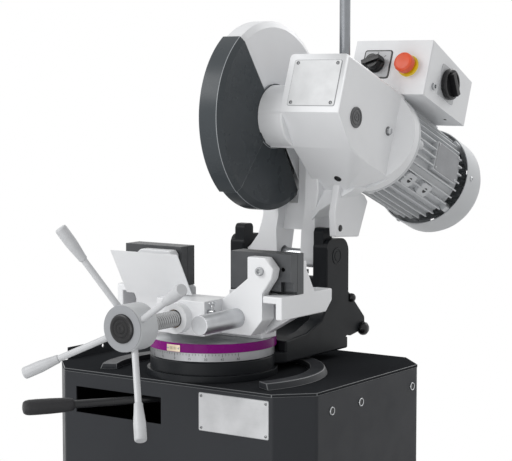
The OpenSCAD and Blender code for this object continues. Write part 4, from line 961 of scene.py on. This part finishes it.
# %% Vise fittings
TABLE_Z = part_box("fixed_jaws")[0].z / MM
STOP_Y, STOP_Z = -88, SCREW.z / MM + 14
jaw_screw_places = [pointing(machine(x, -45, TABLE_Z + 44), -BACK) for x in (-110, 140)]
dress(row_of(socket_screw(8, 6), jaw_screw_places), "jaw_key_screws", "jaw", "bright_steel",
      stands_for=["jaw_screws"])
pin = turned([(4, 43), (4, 68), (3.2, 69), (0.3, 69)], 24)
dress(settle(pin, pointing(machine(0, STOP_Y, STOP_Z), ACROSS)), "stop_rod", "jaw", "bright_steel",
      stands_for=["stop_pin"])
wing_stem = turned([(2.5, 2), (2.5, 9), (4.2, 9.4), (4.2, 12.4), (3, 13.6), (0.3, 13.8)], 24)
dress(settle(wing_stem, pointing(machine(64, STOP_Y, STOP_Z), UP)), "wing_stem", "jaw", "bright_steel",
      stands_for=["stop_pin"])
ear_places = []
for side in (-1, 1):
    spread = (UP * 0.8 + BACK * side * 0.6).normalized()
    ear_foot = machine(63.2, STOP_Y + side * 4, STOP_Z + 14)
    ear_places.append(axes(ear_foot, spread, -spread.cross(ACROSS)))
dress(row_of(slab(11, 7.5, 1.6, 3.2, 0.4), ear_places), "wing_ears", "jaw", "bright_steel",
      stands_for=["stop_pin"])
print("vise fittings", made[-4:])

# %% [markdown]
# The angle scale is cut into the grey ring that swivels: a line every few degrees, longer ones where a
# number stands. A line is modelled once and copied round the ring.

# %% Lines of the angle scale
RING_R = 117
LAST_ANGLE = 60
LINE_STEP = 3
NUMBER_STEP = 15
scale_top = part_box("scale_ring")[1].z / MM
lined = range(-LAST_ANGLE, LAST_ANGLE + 1, LINE_STEP)
numbered = range(-LAST_ANGLE, LAST_ANGLE + 1, NUMBER_STEP)


def round_ring(angle, radius, height):
    """A place on a ring round the swivel axis, at an angle in degrees from the front."""
    out = Vector((math.sin(math.radians(angle)), -math.cos(math.radians(angle)), 0))
    return axes(SWIVEL + out * radius * MM + UP * height * MM, UP.cross(out), UP)


fine = [round_ring(angle, RING_R, scale_top - 3.2) for angle in lined if angle % NUMBER_STEP]
long_lines = [round_ring(angle, RING_R, scale_top - 4.4) for angle in numbered]
dress(row_of(slab(0.7, 3.4, 0.12, 0.2, 0), fine), "scale_lines", "swivel", "bright_steel",
      finishes["black_plastic"])
dress(row_of(slab(0.9, 5.8, 0.12, 0.25, 0), long_lines), "scale_long_lines", "swivel", "bright_steel",
      finishes["black_plastic"])
print("scale lines", len(fine) + len(long_lines))

# %% [markdown]
# The numbers are text that is made a mesh before it is put in its place. Text comes with open seams
# between its faces and its sides, so these are merged first.

# %% Numbers of the angle scale


def number(text, place, size):
    """A flat number, made a mesh and then placed."""
    bpy.ops.object.select_all(action="DESELECT")
    bpy.ops.object.text_add()
    piece = bpy.context.object
    piece.data.body = text
    piece.data.size = size * MM
    piece.data.extrude = 0.06 * MM
    piece.data.align_x = "CENTER"
    bpy.ops.object.convert(target="MESH")
    piece = bpy.context.object
    edit(piece, "VERT")
    bpy.ops.mesh.select_all(action="SELECT")
    bpy.ops.mesh.remove_doubles(threshold=MERGE)
    bpy.ops.mesh.normals_make_consistent(inside=False)
    bpy.ops.object.mode_set(mode="OBJECT")
    return settle(piece, place)


for angle in numbered:
    piece = number(str(abs(angle)), round_ring(angle, RING_R, scale_top - 13.6), 6.5)
    side = "left" if angle < 0 else "right"
    dress(piece, f"scale_{side}_{abs(angle)}", "swivel", "bright_steel", finishes["black_plastic"])
print("numbers", len(numbered))

# %% [markdown]
# The index ring carries a small bent pointer plate with a row of short lines and two screws.

# %% Pointer
POINTER_R = 121.5
low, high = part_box("pointer_plate")
pointer_z = (low.z + high.z) / 2 / MM
pointer_lines = [round_ring(angle, POINTER_R, pointer_z) for angle in (-3, -1.5, 0, 1.5, 3)]
pointer_screws = [round_ring(angle, POINTER_R, pointer_z) for angle in (-5.6, 5.6)]
dress(row_of(slab(0.7, 5.5, 0.2, 0.2, 0), pointer_lines), "pointer_lines", "stand", "brass_plate",
      finishes["black_plastic"])
dress(row_of(dome_screw(1.9), pointer_screws), "pointer_screws", "stand", "bright_steel")
print("pointer at", round(pointer_z, 1))

# %% [markdown]
# Two levers have grips. The clamp lever's grip swells towards its end like a file handle. The feed
# lever's grip is ribbed, and its end has a bore that the thumb button moves in.

# %% Grips of the levers
LEVER_ANGLE = math.radians(235.7)
LEVER_REACH, CLAMP_GRIP = 364, 95
lever_way = Vector((math.cos(LEVER_ANGLE), math.sin(LEVER_ANGLE), 0))
low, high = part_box("lock_grip")
clamp_foot = SWIVEL + UP * (low.z + high.z) / 2 + lever_way * (LEVER_REACH - CLAMP_GRIP) * MM
lock_grip = turned([(7.6, 0), (9.6, 0.4), (11.2, 2.4), (12.6, 8), (13.6, 24), (14.3, 44), (14.5, 70),
                    (14.2, 84), (13, 90), (10.6, 93.6), (6, CLAMP_GRIP), (0.4, CLAMP_GRIP)], 40)
dress(settle(lock_grip, pointing(clamp_foot, lever_way)), "clamp_grip", "lock_lever", "black_rubber",
      stands_for=["lock_grip"])

RIBS, RIB_STEP, FIRST_RIB = 11, 10, 12
GRIP_R, GROOVE_R = 15.3, 14.2
low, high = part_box("lever_grip")
button_low, button_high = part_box("grip_button")
bore_r = (button_high.x - button_low.x) / 2 / MM + 0.3
bore_foot = (button_low.z - low.z) / MM - 4.6
profile = [(10.6, 0), (13.4, 0.4), (GRIP_R, 3)]
for rib in range(RIBS):
    height = FIRST_RIB + rib * RIB_STEP
    profile += [(GRIP_R, height), (GROOVE_R, height + 1.2)]
    profile += [(GROOVE_R, height + 3.2), (GRIP_R, height + 4.4)]
profile += [(GRIP_R, 130), (14.2, 137), (12, 139.6), (bore_r, 140)]
profile += [(bore_r, bore_foot), (0.5, bore_foot)]
feed_foot = Vector(((low.x + high.x) / 2, (low.y + high.y) / 2, low.z))
dress(settle(turned(profile, 40), pointing(feed_foot, UP)), "feed_grip", "head", "black_rubber",
      stands_for=["lever_grip"])
print("grips", made[-2:], "bore", round(bore_r, 2))

# %% [markdown]
# Plugs close the two ends of the tilt pivot, and the right side of the stand has three fittings with
# a bright rim. Their places come from the box of the solids that they stand for.

# %% Pivot caps and side fittings
PIVOT_HALF = 115
MIDDLE_STEP = 0.100
plug = turned([(17, -6), (17, 0.4), (16.4, 1), (13, 1), (12.2, 0.2), (9.4, 0.2), (8.6, 1),
               (0.4, 1)], 48)
plug_places = [pointing(PIVOT + ACROSS * side * PIVOT_HALF * MM, ACROSS * side) for side in (-1, 1)]
dress(row_of(plug, plug_places), "pivot_caps", "swivel", "dark_casting", stands_for=["pivot_plugs"])

RIM_RISE = 2
low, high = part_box("side_fittings")
side_z = (low.z + high.z) / 2
side_r = (high.z - low.z) / 2
side_places = []
for along in (low.y + side_r, low.y + side_r + MIDDLE_STEP, high.y - side_r):
    side_places.append(pointing(Vector((high.x - RIM_RISE * MM, along, side_z)), ACROSS))
rim = turned([(6, -3), (8, 0), (8, 1), (7.4, 1.8), (6.4, RIM_RISE), (5.7, 1.4), (5.4, -2.4),
              (0.3, -2.4)], 40)
dress(row_of(rim, side_places), "side_rims", "stand", "black_plastic", finishes["bright_steel"],
      ["side_fittings"])
side_core = turned([(5.2, -2.2), (5.2, 0.2), (4.2, 0.6), (0.3, 0.6)], 32)
dress(row_of(side_core, side_places), "side_cores", "stand", "black_plastic",
      stands_for=["side_fittings"])
print("caps and fittings", made[-3:])

# %% [markdown]
# Two knobs sit behind the swivel arm. The second is the first one made smaller, from the same profile.
# The plain rods of both levers get their eased edges last.

# %% Knobs behind the arm, and the levers' rods
ARM_SIDE = 103
knob_shape = [(7, -3), (7, 2), (11, 4), (13.4, 8), (13.8, 12), (12.4, 17), (8.6, 20.6), (3, 22),
              (0.3, 22.1)]
nub_shape = [(radius * 0.66, height * 0.8) for radius, height in knob_shape]
dress(settle(turned(knob_shape, 32), pointing(machine(ARM_SIDE, 359, 848), ACROSS)), "arm_knob",
      "swivel", "black_plastic")
dress(settle(turned(nub_shape, 32), pointing(machine(ARM_SIDE, 316, 915), ACROSS)), "arm_nub",
      "swivel", "black_plastic")
eased("feed_lever", 0.8)
eased("lock_lever", 0.8)
print("pieces", len(made))

# %% [markdown]
# At the end the scene's view transform is set to Standard.

# %% View transform
bpy.context.scene.view_settings.view_transform = "Standard"
